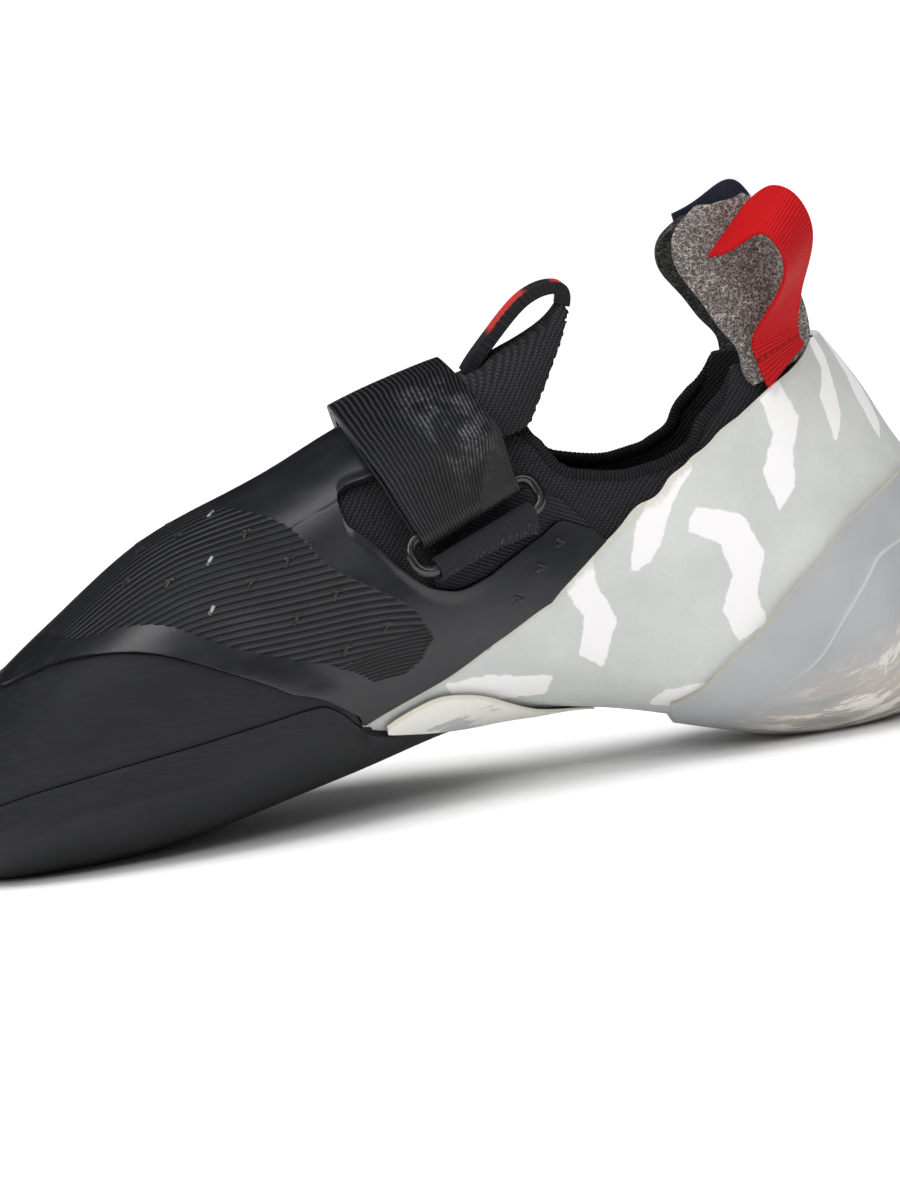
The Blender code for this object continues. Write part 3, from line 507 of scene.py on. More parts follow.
back = Vector((-sin(AHEAD) * cos(ABOVE), -cos(AHEAD) * cos(ABOVE), sin(ABOVE)))
level = (-back).cross(Vector((0, 0, 1))).normalized()
upright = level.cross(-back)
up = cos(ROLL) * upright + sin(ROLL) * level
right = cos(ROLL) * level - sin(ROLL) * upright
aside = (HEEL_PIXEL[0] - IMAGE[0] / 2) * PIXEL
beneath = (HEEL_PIXEL[1] - IMAGE[1] / 2) * PIXEL
eye = HEEL_POINT + back * DISTANCE - right * aside + up * beneath

deselect()
bpy.ops.object.camera_add()
camera = bpy.context.object
camera.data.sensor_width = 36
camera.data.lens = 36 * DISTANCE / (PIXEL * IMAGE[1])
camera.data.clip_end = 20
camera.matrix_world = Matrix.Translation(eye) @ Matrix((right, up, back)).transposed().to_4x4()
bpy.context.scene.camera = camera
print("camera", [round(v, 4) for v in camera.location], "lens", round(camera.data.lens, 1))

# %% [markdown]
# ## Shader maths
# A material is a tree of nodes. Written as Python expressions it stays readable: the class below
# wraps a socket, so that adding or multiplying two of them adds the Math node.


# %% Value and Finish
class Value:
    """A number on a surface. Python's operators add Math nodes."""

    def __init__(self, finish, socket):
        self.finish = finish
        self.socket = socket

    def math(self, operation, *others):
        inputs = {0: self, **{i + 1: other for i, other in enumerate(others)}}
        return self.finish.add("ShaderNodeMath", {"operation": operation}, inputs)

    def __add__(self, other):
        return self.math("ADD", other)

    def __mul__(self, other):
        return self.math("MULTIPLY", other)

    def __sub__(self, other):
        return self.math("SUBTRACT", other)

    def __rsub__(self, other):
        return self.finish.add("ShaderNodeMath", {"operation": "SUBTRACT"}, {0: other, 1: self})

    def __truediv__(self, other):
        return self.math("DIVIDE", other)

    __radd__, __rmul__ = __add__, __mul__

    def wave(self, period=1.0):
        """A sine from 0 to 1."""
        return (self * (2 * pi / period)).math("SINE") * 0.5 + 0.5

    def saw(self, period=1.0):
        """0 to 1 over each period."""
        return (self / period).math("FRACT")

    def step(self, low, high):
        """0 under low, 1 over high and smooth between."""
        settings = {"interpolation_type": "SMOOTHSTEP"}
        inputs = {"Value": self, "From Min": low, "From Max": high}
        return self.finish.add("ShaderNodeMapRange", settings, inputs)

    def band(self, low, high, soft):
        return self.step(low - soft, low + soft) * (1 - self.step(high - soft, high + soft))


class Finish:
    """A material and the nodes that it is made of."""

    def __init__(self, name, colour, roughness, **fixed):
        self.material = bpy.data.materials.new(name)
        self.material.use_nodes = True
        self.tree = self.material.node_tree
        self.shader = self.tree.nodes["Principled BSDF"]
        self.shader.inputs["Base Color"].default_value = (*colour, 1)
        self.shader.inputs["Roughness"].default_value = roughness
        for key, value in fixed.items():
            self.shader.inputs[key.replace("_", " ")].default_value = value

    def give(self, value, socket):
        if isinstance(value, Value):
            self.tree.links.new(value.socket, socket)
        elif isinstance(value, tuple) and socket.type == "RGBA":
            socket.default_value = (*value[:3], 1)
        else:
            socket.default_value = value

    def add(self, kind, settings=None, inputs=None, output=0):
        """Any node: its type, its settings, which come first, and the values of its sockets."""
        node = self.tree.nodes.new(kind)
        for key, value in (settings or {}).items():
            setattr(node, key, value)
        for key, value in (inputs or {}).items():
            self.give(value, node.inputs[key])
        return Value(self, node.outputs[output])

    def place(self):
        return self.add("ShaderNodeTexCoord", output="Object")

    def uv(self):
        """The piece's own u and v."""
        where = self.add("ShaderNodeUVMap")
        split = self.tree.nodes.new("ShaderNodeSeparateXYZ")
        self.tree.links.new(where.socket, split.inputs[0])
        return Value(self, split.outputs[0]), Value(self, split.outputs[1])

    def field(self, name):
        """A number stored on the piece."""
        return self.add("ShaderNodeAttribute", {"attribute_name": name}, output="Fac")

    def xyz(self):
        split = self.tree.nodes.new("ShaderNodeSeparateXYZ")
        self.tree.links.new(self.place().socket, split.inputs[0])
        return [Value(self, out) for out in split.outputs]

    def point(self, x, y, z=0.0):
        return self.add("ShaderNodeCombineXYZ", None, {0: x, 1: y, 2: z})

    def noise(self, size, detail=2.0, rough=0.5, at=None, stretch=None):
        """Cloudy noise of about this size in metres, stretched along an axis if asked."""
        at = at or self.place()
        if stretch:
            settings = {"operation": "MULTIPLY"}
            at = self.add("ShaderNodeVectorMath", settings, {0: at, 1: stretch})
        inputs = {"Vector": at, "Scale": 1 / size, "Detail": detail, "Roughness": rough}
        return self.add("ShaderNodeTexNoise", None, inputs)

    def mix(self, first, second, share):
        settings = {"data_type": "RGBA"}
        return self.add("ShaderNodeMix", settings, {0: share, 6: first, 7: second}, output=2)

    def relief(self, height):
        """Bumps of this height in metres."""
        inputs = {"Height": height, "Distance": 1.0, "Strength": 1.0}
        self.give(self.add("ShaderNodeBump", None, inputs), self.shader.inputs["Normal"])

    def set(self, **sockets):
        for key, value in sockets.items():
            self.give(value, self.shader.inputs[key.replace("_", " ")])
        return self.material

# %% [markdown]
# ## Upper
# A knit sock. It is one sheet from rim to rim under the foot, closed over the toes, with the
# wall's thickness turned inwards. The knit is fine diagonal ribs with a stitch across them, which
# bumps give at this size, and only its edge is modelled.

# %% Knit
BLACK = (0.012, 0.012, 0.0135)


def knit(name, pitch, colour, slant=1.0):
    """Diagonal ribs of stitches with a little fluff, with painted highlights on their crests and painted
    shade between them.
    """
    finish = Finish(name, colour, 0.9, Specular_IOR_Level=0.2, Sheen_Weight=0.03)
    x, y, z = finish.xyz()
    wander = (finish.noise(0.006) - 0.5) * 0.0012
    across = (x - z * slant + y * 0.4 + wander) * 0.7071
    along = (x * slant + z) * 0.7071
    rib = across.wave(pitch)
    stitch = (along + rib * (pitch * 0.4)).wave(pitch * 0.8)
    fluff = finish.noise(0.0007, detail=3)
    height = rib * (pitch * 0.22) + stitch * (pitch * 0.20) + fluff * (pitch * 0.12)
    finish.relief(height)
    # Painted highlight and painted shade: rib and stitch crests are painted much lighter than the yarn
    # and the valleys much darker. The fluff adds random tone.
    light = tuple(c * 3.4 + 0.006 for c in colour)
    dark = tuple(c * 0.3 for c in colour)
    tone = rib * stitch * 0.75 + fluff * 0.3
    return finish.set(Base_Color=finish.mix(dark, light, tone))


knit_fine = knit("fine knit", 0.0010, BLACK)
upper = under_sheet("knit_upper", stations(0, END, 0.12), RIM, 121, 0.0)
thicken(upper, WALL, edge=0.0006)
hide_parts("upper")
finished(upper, knit_fine)

# %% [markdown]
# ## Collar
# The rim of the knit is rolled over to a thick soft rib. It is a tube swept along the rim on each
# side, thinning out where the tongue begins and under the heel tabs.

# %% Collar
COLLAR_HIGH, COLLAR_THICK = 0.0034, 0.0029
COLLAR_SIDES = 14
COLLAR_ENDS = (8.90, 21.95)  # stations


def collar(side, first, last):
    s = np.array(stations(first, last, 0.05))
    g = side * RIM(s)
    centre = lifted(s, g, -WALL / 2)
    out = off_last(s, g)
    upward = np.cross(unit(np.gradient(centre, axis=0)), out)
    upward *= np.sign(np.sum(upward * (lifted(s, g + side * 0.01) - centre), 1, keepdims=True))
    turns = np.linspace(0, 2 * pi, COLLAR_SIDES + 1)
    ends = np.sqrt(np.clip(np.minimum((s - first) / 0.35, (last - s) / 1.30), 0, 1))[:, None, None]
    stitches = (1 + 0.06 * np.sin(np.arange(len(s)) * 2.1))[:, None, None]
    ring = (
        np.cos(turns)[None, :, None] * out[:, None] * COLLAR_THICK / 2
        + np.sin(turns)[None, :, None] * upward[:, None] * COLLAR_HIGH / 2
    )
    points = centre[:, None] + ring * ends * stitches
    return grid_piece("collar", points, mesh_uv(turns * COLLAR_THICK / 2, run_length(centre)))


rib_finish = Finish("collar rib", BLACK, 0.9, Specular_IOR_Level=0.2)
u, v = rib_finish.uv()
cord = (v + (u * 900).math("SINE") * 0.0002).wave(0.00085)
fluff = rib_finish.noise(0.0008, detail=3)
rib_finish.relief(cord * 0.00022 + fluff * 0.0003)
# Painted highlight and painted shade: the cords are painted lighter on their crests and darker between
# them, broken up by the fluff.
rib_finish.set(Base_Color=rib_finish.mix((0.004, 0.004, 0.005), (0.032, 0.032, 0.035), cord * fluff))
binding = joined("collar_binding", *(collar(k, *COLLAR_ENDS) for k in (MEDIAL, LATERAL)))
faced_outward(binding)
finished(binding, rib_finish.material)

# %% [markdown]
# ## Insole
# A thin board covered in felt, glued to the margin of the upper.

# %% Insole
BOARD_FRONT, BOARD_BACK = 2.20, 14.40  # stations
felt = Finish("insole felt", (0.07, 0.07, 0.068), 0.95)
cloud, grain = felt.noise(0.012), felt.noise(0.0006, detail=4)
felt.relief(grain * 0.0002)
felt.set(Base_Color=felt.mix((0.035, 0.035, 0.036), (0.13, 0.13, 0.125), cloud * 0.6 + grain * 0.3))
rows = stations(BOARD_FRONT, BOARD_BACK, 0.15)
board = under_sheet("insole_board", rows, BOARD, 41, -WALL - GAP - INSOLE)
thicken(board, INSOLE, side=1.0, edge=0.0003)
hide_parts("insole")
finished(board, felt.material)

# %% [markdown]
# ## Outsole
# Sticky rubber, cut from a sheet and ground flush with the rand. It is matt, a little dusty and
# scuffed along the foot. A soft crease runs along its side where the grinder turned under.

# %% Black rubber


def rubber(name, colour, roughness, scuffs=0.5):
    """Matt rubber with brushed scuffs and a trace of dust."""
    finish = Finish(name, colour, roughness, Specular_IOR_Level=0.27)
    brushed = finish.noise(0.0009, detail=4, stretch=(0.11, 0.4, 1.0))
    cloud = finish.noise(0.018, detail=4, rough=0.6)
    grain = finish.noise(0.0005, detail=2)
    marks = brushed.step(0.48, 0.72) * cloud.step(0.34, 0.6)
    finish.relief(brushed * 0.00016 + grain * 0.00005)
    dusty = tuple(c * 2.1 + 0.005 for c in colour)
    finish.set(
        Base_Color=finish.mix(colour, dusty, marks * scuffs + cloud * 0.25 + grain * 0.12),
        Roughness=roughness + marks * 0.18 - cloud * 0.08,
    )
    return finish


SOLE_CREASE = edge_curve((
    (0.00, 0.400), (2.50, 0.334), (3.20, 0.352), (3.85, 0.387), (4.54, 0.385), (5.25, 0.367),
    (5.96, 0.345), (7.25, 0.300), (9.15, 0.000),
))
CREASE_RISE = 0.00045
SOLE_END = 9.15  # station of the outsole's pointed tail
ROW_STEP = 0.06  # stations between two rows


def sole_thickness(s, g):
    """Full under the foot, thinner up the side and along the tail."""
    share = np.abs(g) / np.maximum(SOLE_TOP(s), 1e-3)
    up_side = np.where(s < ARC_END, smooth_step(0.70, 1.0, share), 0.0)
    tail = smooth_step(7.2, SOLE_END, s)
    crease = np.exp(-(((np.abs(g) - SOLE_CREASE(s)) / 0.014) ** 2)) * (1 - smooth_step(6, 7.2, s))
    return GAP + SOLE + (SOLE_EDGE - SOLE) * np.maximum(up_side, tail) + CREASE_RISE * crease


sole_rubber = rubber("outsole rubber", (0.0085, 0.0088, 0.0100), 0.6)
sole = under_sheet(
    "rubber_outsole", stations(0, SOLE_END, ROW_STEP, 0.30), SOLE_TOP, 121, sole_thickness
)
thicken(sole, SOLE_EDGE, edge=0.0005)
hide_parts("outsole")
finished(sole, sole_rubber.material)

# %% [markdown]
# ## Toe rand
# The band round the toe, glued on before the sole and buffed.

# %% Toe rand
RAND_FRONT, RAND_BACK = 0.36, 7.62  # stations
UNDER_HEEL_RAND = 0.004  # girth
sole_clear = above(SOLE_TOP, GAP / 2)


def rand_low(s):
    """Just above the outsole."""
    return np.where(s > RAND_FRONT + 1e-6, sole_clear(s), 1.0)


def rand_high(s):
    """Under the patch's lip, and over the toes up to the ridge."""
    back = np.where(s < ARC_END, TOE_ARC(s), HEEL_LINE(s) - UNDER_HEEL_RAND)
    return np.maximum(np.where(s < ARC_START, 1.0, back), rand_low(s))


rand_rubber = rubber("rand rubber", (0.0082, 0.0085, 0.0100), 0.6, scuffs=0.45)
rows = stations(RAND_FRONT, RAND_BACK, ROW_STEP, ARC_START)
toe = joined("rubber_toe_rand", *side_sheets("rand", rows, rand_low, rand_high, 41, GAP + RAND))
thicken(toe, RAND, edge=0.0004)
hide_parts("toe_rand")
finished(toe, rand_rubber.material)

# %% [markdown]
# ## Forefoot patch
# One moulded piece of glossier rubber over the toes. Its lip stands over the rand, an arm runs
# back on each side under a window, and its top is cut by many narrow grooves for toe
# hooks. The grooves follow the foot, so their number is worked out from station and girth, a
# bump cuts them and painted shade darkens them. Small raised ticks sit in a loose grid among them.

# %% Patch shape
PATCH_FRONT, CROWN_END, ARM_END = 2.86, 8.70, 11.80  # stations
BAY = 7.75  # the station at which the window starts
SPLIT = 0.76  # the girth at which the crown meets the arms
LIP_WIDE, FRAME_WIDE = 0.09, 0.022  # girths of the lip and of the window's raised frame
WINDOW_LIP = 0.0005
RIB_ZONE = (
    (3.30, 1.060), (3.75, 0.890), (4.20, 0.783), (4.84, 0.721), (5.71, 0.648), (6.42, 0.586),
    (7.23, 0.508), (7.72, 0.421), (8.08, 0.401), (8.38, 0.412), (8.62, 0.455), (8.40, 0.526),
    (7.79, 0.624), (7.47, 0.676), (7.08, 0.759), (6.67, 0.843), (6.20, 0.950), (6.05, 1.060),
)
STATION_SPAN, GIRTH_SPAN = 0.017, 0.105  # metres across one station and one girth, about


def patch_low(s):
    """Just above the toe rand, then above the heel rand."""
    edge = np.where(s < ARC_END, above(TOE_ARC, GAP / 2)(s), above(HEEL_LINE, GAP / 2)(s))
    return np.where(s <= PATCH_FRONT + 1e-6, 1.0, edge)


def patch_out(s, g):
    """Height over the last, with the lip over the rand and the frame round the window."""
    g = np.abs(g)
    lip = (1 - smooth_step(0.0, LIP_WIDE, g - patch_low(s))) * (1 - smooth_step(6.6, 8.0, s))
    sill = np.where(g < BAY_LOW(s) + 1e-6, 1 - smooth_step(0.0, FRAME_WIDE, BAY_LOW(s) - g), 0)
    brow = np.where(g > BAY_TOP(s) - 1e-6, 1 - smooth_step(0, FRAME_WIDE, g - BAY_TOP(s)), 0)
    beside = smooth_step(BAY, BAY + 0.12, s) * (1 - smooth_step(8.7, 9.6, s))
    raised = np.maximum(sill, brow) * beside
    return GAP + PATCH + LIP * lip + WINDOW_LIP * raised


def rib_number(s, g):
    """Counts the grooves from the ridge outwards."""
    t = 1 - np.abs(g) - 0.020 * np.clip(s - 5.5, 0, None) ** 1.5
    return 45 * t + 60 * t * np.abs(t)


def rib_zone(s, g):
    points = np.stack([s * STATION_SPAN, np.abs(g) * GIRTH_SPAN], -1)
    return away_from(points, np.array(RIB_ZONE) * (STATION_SPAN, GIRTH_SPAN))


def from_uv(function):
    return lambda u, v, place: function(u * END, v * 2 - 1)


def middle_turn(s):
    return 1 - np.where(s <= BAY, np.maximum(SPLIT, patch_low(s)), BAY_TOP(s))


def arm_top(s):
    return np.where(s <= BAY, np.maximum(SPLIT, patch_low(s)), np.maximum(BAY_LOW(s), patch_low(s)))


def crown_sheet(name, rows, turn, columns, offset):
    """A sheet across the ridge, between the same turn on both sides."""
    s = np.repeat(np.asarray(rows)[:, None], columns, 1)
    t = turn(s) * np.linspace(-1, 1, columns)[None, :]
    g = np.where(t < 0, -1 - t, 1 - t)
    points = lifted(s, g, offset(s, g))
    obj = grid_piece(name, points, np.stack([s / END, (np.abs(g) + 1) / 2], -1))
    if obj.data.polygons[len(obj.data.polygons) // 2].normal.z < 0:
        obj.data.flip_normals()
    return obj


print("grooves on one side", round(float(np.max(rib_number(*np.array(RIB_ZONE).T)))))


# %% Patch rubber
PATCH_BLACK = (0.0095, 0.0098, 0.0118)
patch_rubber = Finish("patch rubber", PATCH_BLACK, 0.34)
ribs, zone = patch_rubber.field("ribs"), patch_rubber.field("zone")
cloud = patch_rubber.noise(0.016, detail=4, rough=0.6)
grain = patch_rubber.noise(0.0006, detail=3)
smear = patch_rubber.noise(0.004, detail=3, stretch=(0.35, 1, 1))
ragged = (ribs.math("ROUND") * 12.9898).math("SINE") * 0.0007
groove = 1 - (ribs.saw() - 0.5).math("ABSOLUTE").step(0.09, 0.20)
inside = 1 - (zone + ragged).step(-0.0009, -0.0004)
cut = groove * inside
crown = (1 - (ribs.saw() - 0.5).math("ABSOLUTE").step(0.22, 0.5)) * inside
patch_rubber.relief(crown * -0.00022 - cut * 0.0009 + grain * 0.00002 + smear * 0.00003)
# Painted shade: the grooves are painted nearly black, as the shade inside the cuts.
dark, pale = (0.0008, 0.0008, 0.0010), (0.022, 0.023, 0.027)
pale_marks = patch_rubber.mix(PATCH_BLACK, pale, smear.step(0.45, 0.8) * 0.5 + cloud * 0.25)
patch_rubber.set(
    Base_Color=patch_rubber.mix(pale_marks, dark, cut * 0.95),
    Roughness=0.24 + cloud * 0.12 + inside * 0.12 + cut * 0.4 + smear * 0.06,
)

# %% Patch
bay_rows = (7.75, 7.757, 7.765, 7.78, 7.80, 7.83, 7.87, 7.92)
front_rows = (2.87, 2.885, 2.905, 2.93, 2.96, 3.0, 3.05)
crown_rows, arm_rows = (
    stations(PATCH_FRONT, end, 0.055, *bay_rows, *front_rows) for end in (CROWN_END, ARM_END)
)
crown = crown_sheet("patch", crown_rows, middle_turn, 91, patch_out)
arms = side_sheets("patch", arm_rows, patch_low, arm_top, 55, patch_out)
patch = joined("rubber_patch", crown, *arms)
thicken(patch, PATCH, edge=0.0005)
paint(patch, ribs=from_uv(rib_number), zone=from_uv(rib_zone))
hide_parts("forefoot_patch")
finished(patch, patch_rubber.material)

# %% [markdown]
# ## Ticks on the patch
# Little bars moulded proud of the ribs, and three on each arm. A few are worn pale.

# %% Ticks
TICKS = (
    (9.75, 0.500, 0), (10.25, 0.550, 0), (10.75, 0.592, 0),
    (6.50, 0.795, 0), (5.98, 0.775, 1), (6.96, 0.703, 0), (6.45, 0.698, 0), (5.91, 0.685, 1),
    (7.47, 0.611, 0), (6.94, 0.608, 0), (7.99, 0.522, 0), (7.45, 0.522, 0), (5.40, 0.770, 0),
    (4.85, 0.835, 0), (5.60, 0.880, 0), (6.10, 0.905, 1), (5.10, 0.920, 0), (5.55, 1.000, 0),
)
TICK = (0.0026, 0.0008, 0.0007)
tick_black = Finish("tick rubber", (0.006, 0.006, 0.007), 0.4)
tick_pale = Finish("worn tick", (0.25, 0.26, 0.27), 0.6)
for finish, lights in ((tick_black, (0.004, 0.03)), (tick_pale, (0.04, 0.34))):
    grain = finish.noise(0.0008, detail=3)
    finish.relief(grain * 0.0001)
    finish.set(Base_Color=finish.mix((lights[0],) * 3, (lights[1],) * 3, grain.step(0.35, 0.65)))


def tick(s, g, turn):
    """A little bar standing on the patch, turned away from the foot's length."""
    out = Vector(off_last(s, g))
    ahead = Vector(on_last(s + 0.05, g) - on_last(s, g))
    ahead = (ahead - out * ahead.dot(out)).normalized()
    aside = out.cross(ahead)
    ahead, aside = ahead * cos(turn) + aside * sin(turn), aside * cos(turn) - ahead * sin(turn)
    place = Vector(lifted(s, g, patch_out(s, g)))
    deselect()
    bpy.ops.mesh.primitive_cube_add(size=1)
    obj = bpy.context.object
    frame_at = Matrix((ahead * TICK[0], aside * TICK[1], out * TICK[2])).transposed().to_4x4()
    obj.data.transform(Matrix.Translation(place) @ frame_at)
    return obj


def tick_group(name, pale_marks, finish):
    bars = []
    for s, g, pale in TICKS:
        if pale != pale_marks:
            continue
        for k in (MEDIAL, LATERAL) if g < 1 else (LATERAL,):
            bars.append(tick(s, k * g, k * radians(-38)))
            if not pale:
                bars.append(tick(s + 0.03, k * (g + 0.006), k * radians(20)))
    group = joined(name, *bars)
    apply_modifier(group, "BEVEL", width=0.0002, segments=2)
    return finished(group, finish.material, smooth=80)


tick_group("patch_ticks", 0, tick_black)
tick_group("patch_ticks_worn", 1, tick_pale)

# %% [markdown]
# ## Heel rand
# Tensioned rubber from the arch round the heel, light grey with torn-looking off-white patches.
# The layout of the patches is a plain made-up one. Each is an outline on the unrolled rand, given
# in millimetres round from the middle of the heel and up from the floor. The rand's top edge has
# picked up glue and dirt, and is cream and fluffy.

# %% Heel rand colours
CUP_RADIUS = 0.026
MEDIAL_SHAPES = (
    ((114, 22), (126, 23), (136, 26), (138, 30), (128, 30), (112, 27)),
    ((100, 27), (105, 31), (103, 40), (107, 50), (102, 62), (97, 60), (99, 48), (95, 38)),
    ((85, 50), (90, 48), (87, 59), (80, 68), (74, 75), (71, 71), (78, 62), (81, 55)),
    ((70, 14), (82, 13), (90, 15), (86, 19), (74, 19)),
    ((60, 31), (67, 28), (70, 36), (66, 44), (68, 52), (76, 56), (72, 61), (62, 58), (58, 48), (61, 39)),
    ((48, 62), (53, 57), (55, 67), (51, 75), (54, 87), (49, 90), (44, 78), (47, 70)),
    ((31, 76), (36, 70), (37, 81), (33, 88), (36, 98), (32, 101), (27, 91), (30, 83)),
    ((13, 72), (19, 68), (20, 80), (16, 92), (11, 95), (8, 84)),
)
LATERAL_SHAPES = (
    ((118, 25), (130, 26), (133, 31), (124, 33), (115, 29)),
    ((98, 32), (103, 28), (106, 38), (102, 46), (105, 57), (100, 60), (94, 50), (98, 41)),
    ((80, 15), (94, 14), (98, 18), (88, 21), (78, 19)),
    ((80, 52), (85, 56), (81, 64), (83, 72), (77, 76), (73, 67), (77, 60)),
    ((58, 28), (64, 27), (66, 37), (60, 45), (64, 56), (58, 61), (53, 51), (56, 40)),
    ((46, 72), (52, 66), (55, 75), (49, 82), (52, 90), (46, 92), (42, 82)),
    ((31, 52), (38, 50), (39, 61), (32, 67), (34, 76), (29, 78), (26, 66)),
    ((16, 76), (21, 72), (23, 83), (18, 91), (13, 85)),
)


def unrolled(place):
    """Metres round from the middle of the heel, and the height above the floor."""
    x, y, z = place.T
    turn = np.arctan2(np.abs(y), np.maximum(x, 0) + 1e-9)
    return np.stack([CUP_RADIUS * turn + np.maximum(-x, 0), z], -1)


def camouflage(u, v, place):
    at = unrolled(place) * 1000
    near = np.min([away_from(at, shape) for shape in MEDIAL_SHAPES], 0)
    far = np.min([away_from(at, shape) for shape in LATERAL_SHAPES], 0)
    return np.clip(np.where(place[:, 1] < 0, near, far), -8, 8)


def below(edge, span=GIRTH_SPAN):
    """How far under its top edge a place is, in metres about."""
    return lambda u, v, place: (edge(u * END) - np.abs(v * 2 - 1)) * span


heel_rubber = Finish("heel rand rubber", (0.5, 0.51, 0.5), 0.5, Subsurface_Weight=0.0)
shapes, under_edge = heel_rubber.field("shapes"), heel_rubber.field("under_edge")
cloud = heel_rubber.noise(0.022, detail=4, rough=0.6)
grain = heel_rubber.noise(0.0007, detail=3)
torn = (heel_rubber.noise(0.0045, detail=5, rough=0.6) - 0.5) * 2.4
white = 1 - (shapes + torn).step(-0.22, 0.22)
grey = heel_rubber.mix((0.49, 0.505, 0.495), (0.565, 0.575, 0.565), cloud.step(0.3, 0.7))
grey = heel_rubber.mix(grey, (0.42, 0.43, 0.42), grain.step(0.5, 0.8) * 0.3)
both = heel_rubber.mix(grey, (0.80, 0.785, 0.785), white)
frayed = heel_rubber.noise(0.0014, detail=4)
cream = 1 - (under_edge + (frayed - 0.5) * 0.0014).step(0.0003, 0.0012)
soil = heel_rubber.mix(both, (0.50, 0.48, 0.40), cream * 0.7)
heel_rubber.relief(grain * 0.00005 + white * 0.00004 + frayed * cream * 0.0003)
heel_rubber.set(Base_Color=soil, Roughness=0.42 + cloud * 0.16 + cream * 0.3)

# %% Heel rand
TAIL = 9.20  # station at which the rand closes under the foot
TAIL_ROWS = (SOLE_END, 9.17)


def tail_edge(distance):
    """The outsole's tail with this much room, closing under the foot at its end."""
    edge = above(SOLE_TOP, distance)
    return lambda s: np.where(s < TAIL, np.minimum(edge(s), HEEL_LINE(s)), 0.0)


rand_tail = tail_edge(GAP / 2)
rows = stations(ARC_END, TAIL, ROW_STEP, *TAIL_ROWS)
cup = under_sheet("heel", stations(TAIL, END, ROW_STEP), HEEL_LINE, 141, GAP + HEEL_RAND)
wings = side_sheets("heel", rows, rand_tail, HEEL_LINE, 51, GAP + HEEL_RAND)
heel = joined("rubber_heel_rand", cup, *wings)
thicken(heel, HEEL_RAND, edge=0.0005)
paint(heel, shapes=camouflage, under_edge=below(HEEL_LINE))
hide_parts("heel_rand")
finished(heel, heel_rubber.material)

# %% [markdown]
# ## Arch band
# A thin strip of off-white rubber over the rand, from the outsole's corner to under the arch.

# %% Arch band
BAND_IN = GAP + HEEL_RAND + OVERLAY_GAP
band_tail = tail_edge(2 * GAP)
band_rubber = Finish("arch band rubber", (0.72, 0.71, 0.67), 0.5)
cloud = band_rubber.noise(0.011, detail=5, rough=0.6, stretch=(0.5, 1, 1.6))
grain = band_rubber.noise(0.0008, detail=3)
edge = band_rubber.field("under_edge")
light = band_rubber.mix((0.78, 0.77, 0.72), (0.50, 0.51, 0.50), cloud.step(0.55, 0.59))
light = band_rubber.mix(light, (0.62, 0.57, 0.44), (1 - edge.step(0.0004, 0.0016)) * 0.7)
band_rubber.relief(grain * 0.00006 + cloud * 0.00015)
band_rubber.set(Base_Color=light, Roughness=0.4 + grain * 0.2)

BAND_END = 10.4


def band_out(s, g):
    """Tapers to almost nothing under the arch."""
    return BAND_IN + BAND * (1 - smooth_step(9.5, BAND_END, s) * 0.96)


def band_high(s):
    return np.maximum(BAND_TOP(s), band_tail(s))


rows = stations(BAY, TAIL, ROW_STEP, *TAIL_ROWS)
under = under_sheet("band", stations(TAIL, BAND_END, ROW_STEP), BAND_TOP, 61, band_out)
band = joined("rubber_arch_band", under, *side_sheets("band", rows, band_tail, band_high, 31, band_out))
thicken(band, OVERLAY_GAP, edge=0.0001)
paint(band, under_edge=below(BAND_TOP))
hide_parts("arch_band")
finished(band, band_rubber.material)

# %% [markdown]
# ## Heel patch
# The rubber that the heel stands on. It is a cooler grey, with a painted highlight along a moulded
# line across it and, low down, streaks where white rubber has been smeared into it. Its edge has a thin
# cream glue line.

# %% Heel patch
MOULD_LINE = edge_curve((
    (11.5, 0.10), (12.40, 0.215), (13.50, 0.375), (15.00, 0.440), (16.60, 0.395), (17.90, 0.250),
    (18.60, 0.080), (19.30, 0.0),
))
MOULD_RISE = 0.0006
CAP_FRONT, CAP_BACK = 11.50, 19.30  # stations


def heel_patch_out(s, g):
    under = 1 - smooth_step(-0.004, 0.012, np.abs(g) - MOULD_LINE(s))
    return BAND_IN + HEEL_PATCH + MOULD_RISE * (under * smooth_step(12.0, 13.0, s) - 0.7)


patch_grey = Finish("heel patch rubber", (0.43, 0.44, 0.46), 0.5)
x, y, z = patch_grey.xyz()
u, v = patch_grey.uv()
along = patch_grey.point(u * (END * STATION_SPAN * 0.22), (v * 2 - 1) * GIRTH_SPAN)
smeared = patch_grey.noise(0.0055, detail=6, rough=0.62, at=along)
fine = patch_grey.noise(0.0016, detail=5, rough=0.7, at=along)
grain = patch_grey.noise(0.0006, detail=3)
low_down = 1 - (z - x * 0.45 + (smeared - 0.5) * 0.018).step(0.010, 0.024)
streak = (smeared * 0.65 + fine * 0.35).step(0.50, 0.56) * low_down
edge = patch_grey.field("under_edge")
grey = patch_grey.mix((0.335, 0.345, 0.355), (0.385, 0.395, 0.40), patch_grey.noise(0.02).step(0.3, 0.7))
grey = patch_grey.mix(grey, (0.36, 0.37, 0.38), grain.step(0.50, 0.75) * 0.4)
mixed = patch_grey.mix(grey, (0.52, 0.45, 0.38), low_down * smeared.step(0.38, 0.46) * 0.6)
mixed = patch_grey.mix(mixed, (0.80, 0.77, 0.72), streak)
glue = (1 - edge.step(0.0001, 0.0006)) * 0.55
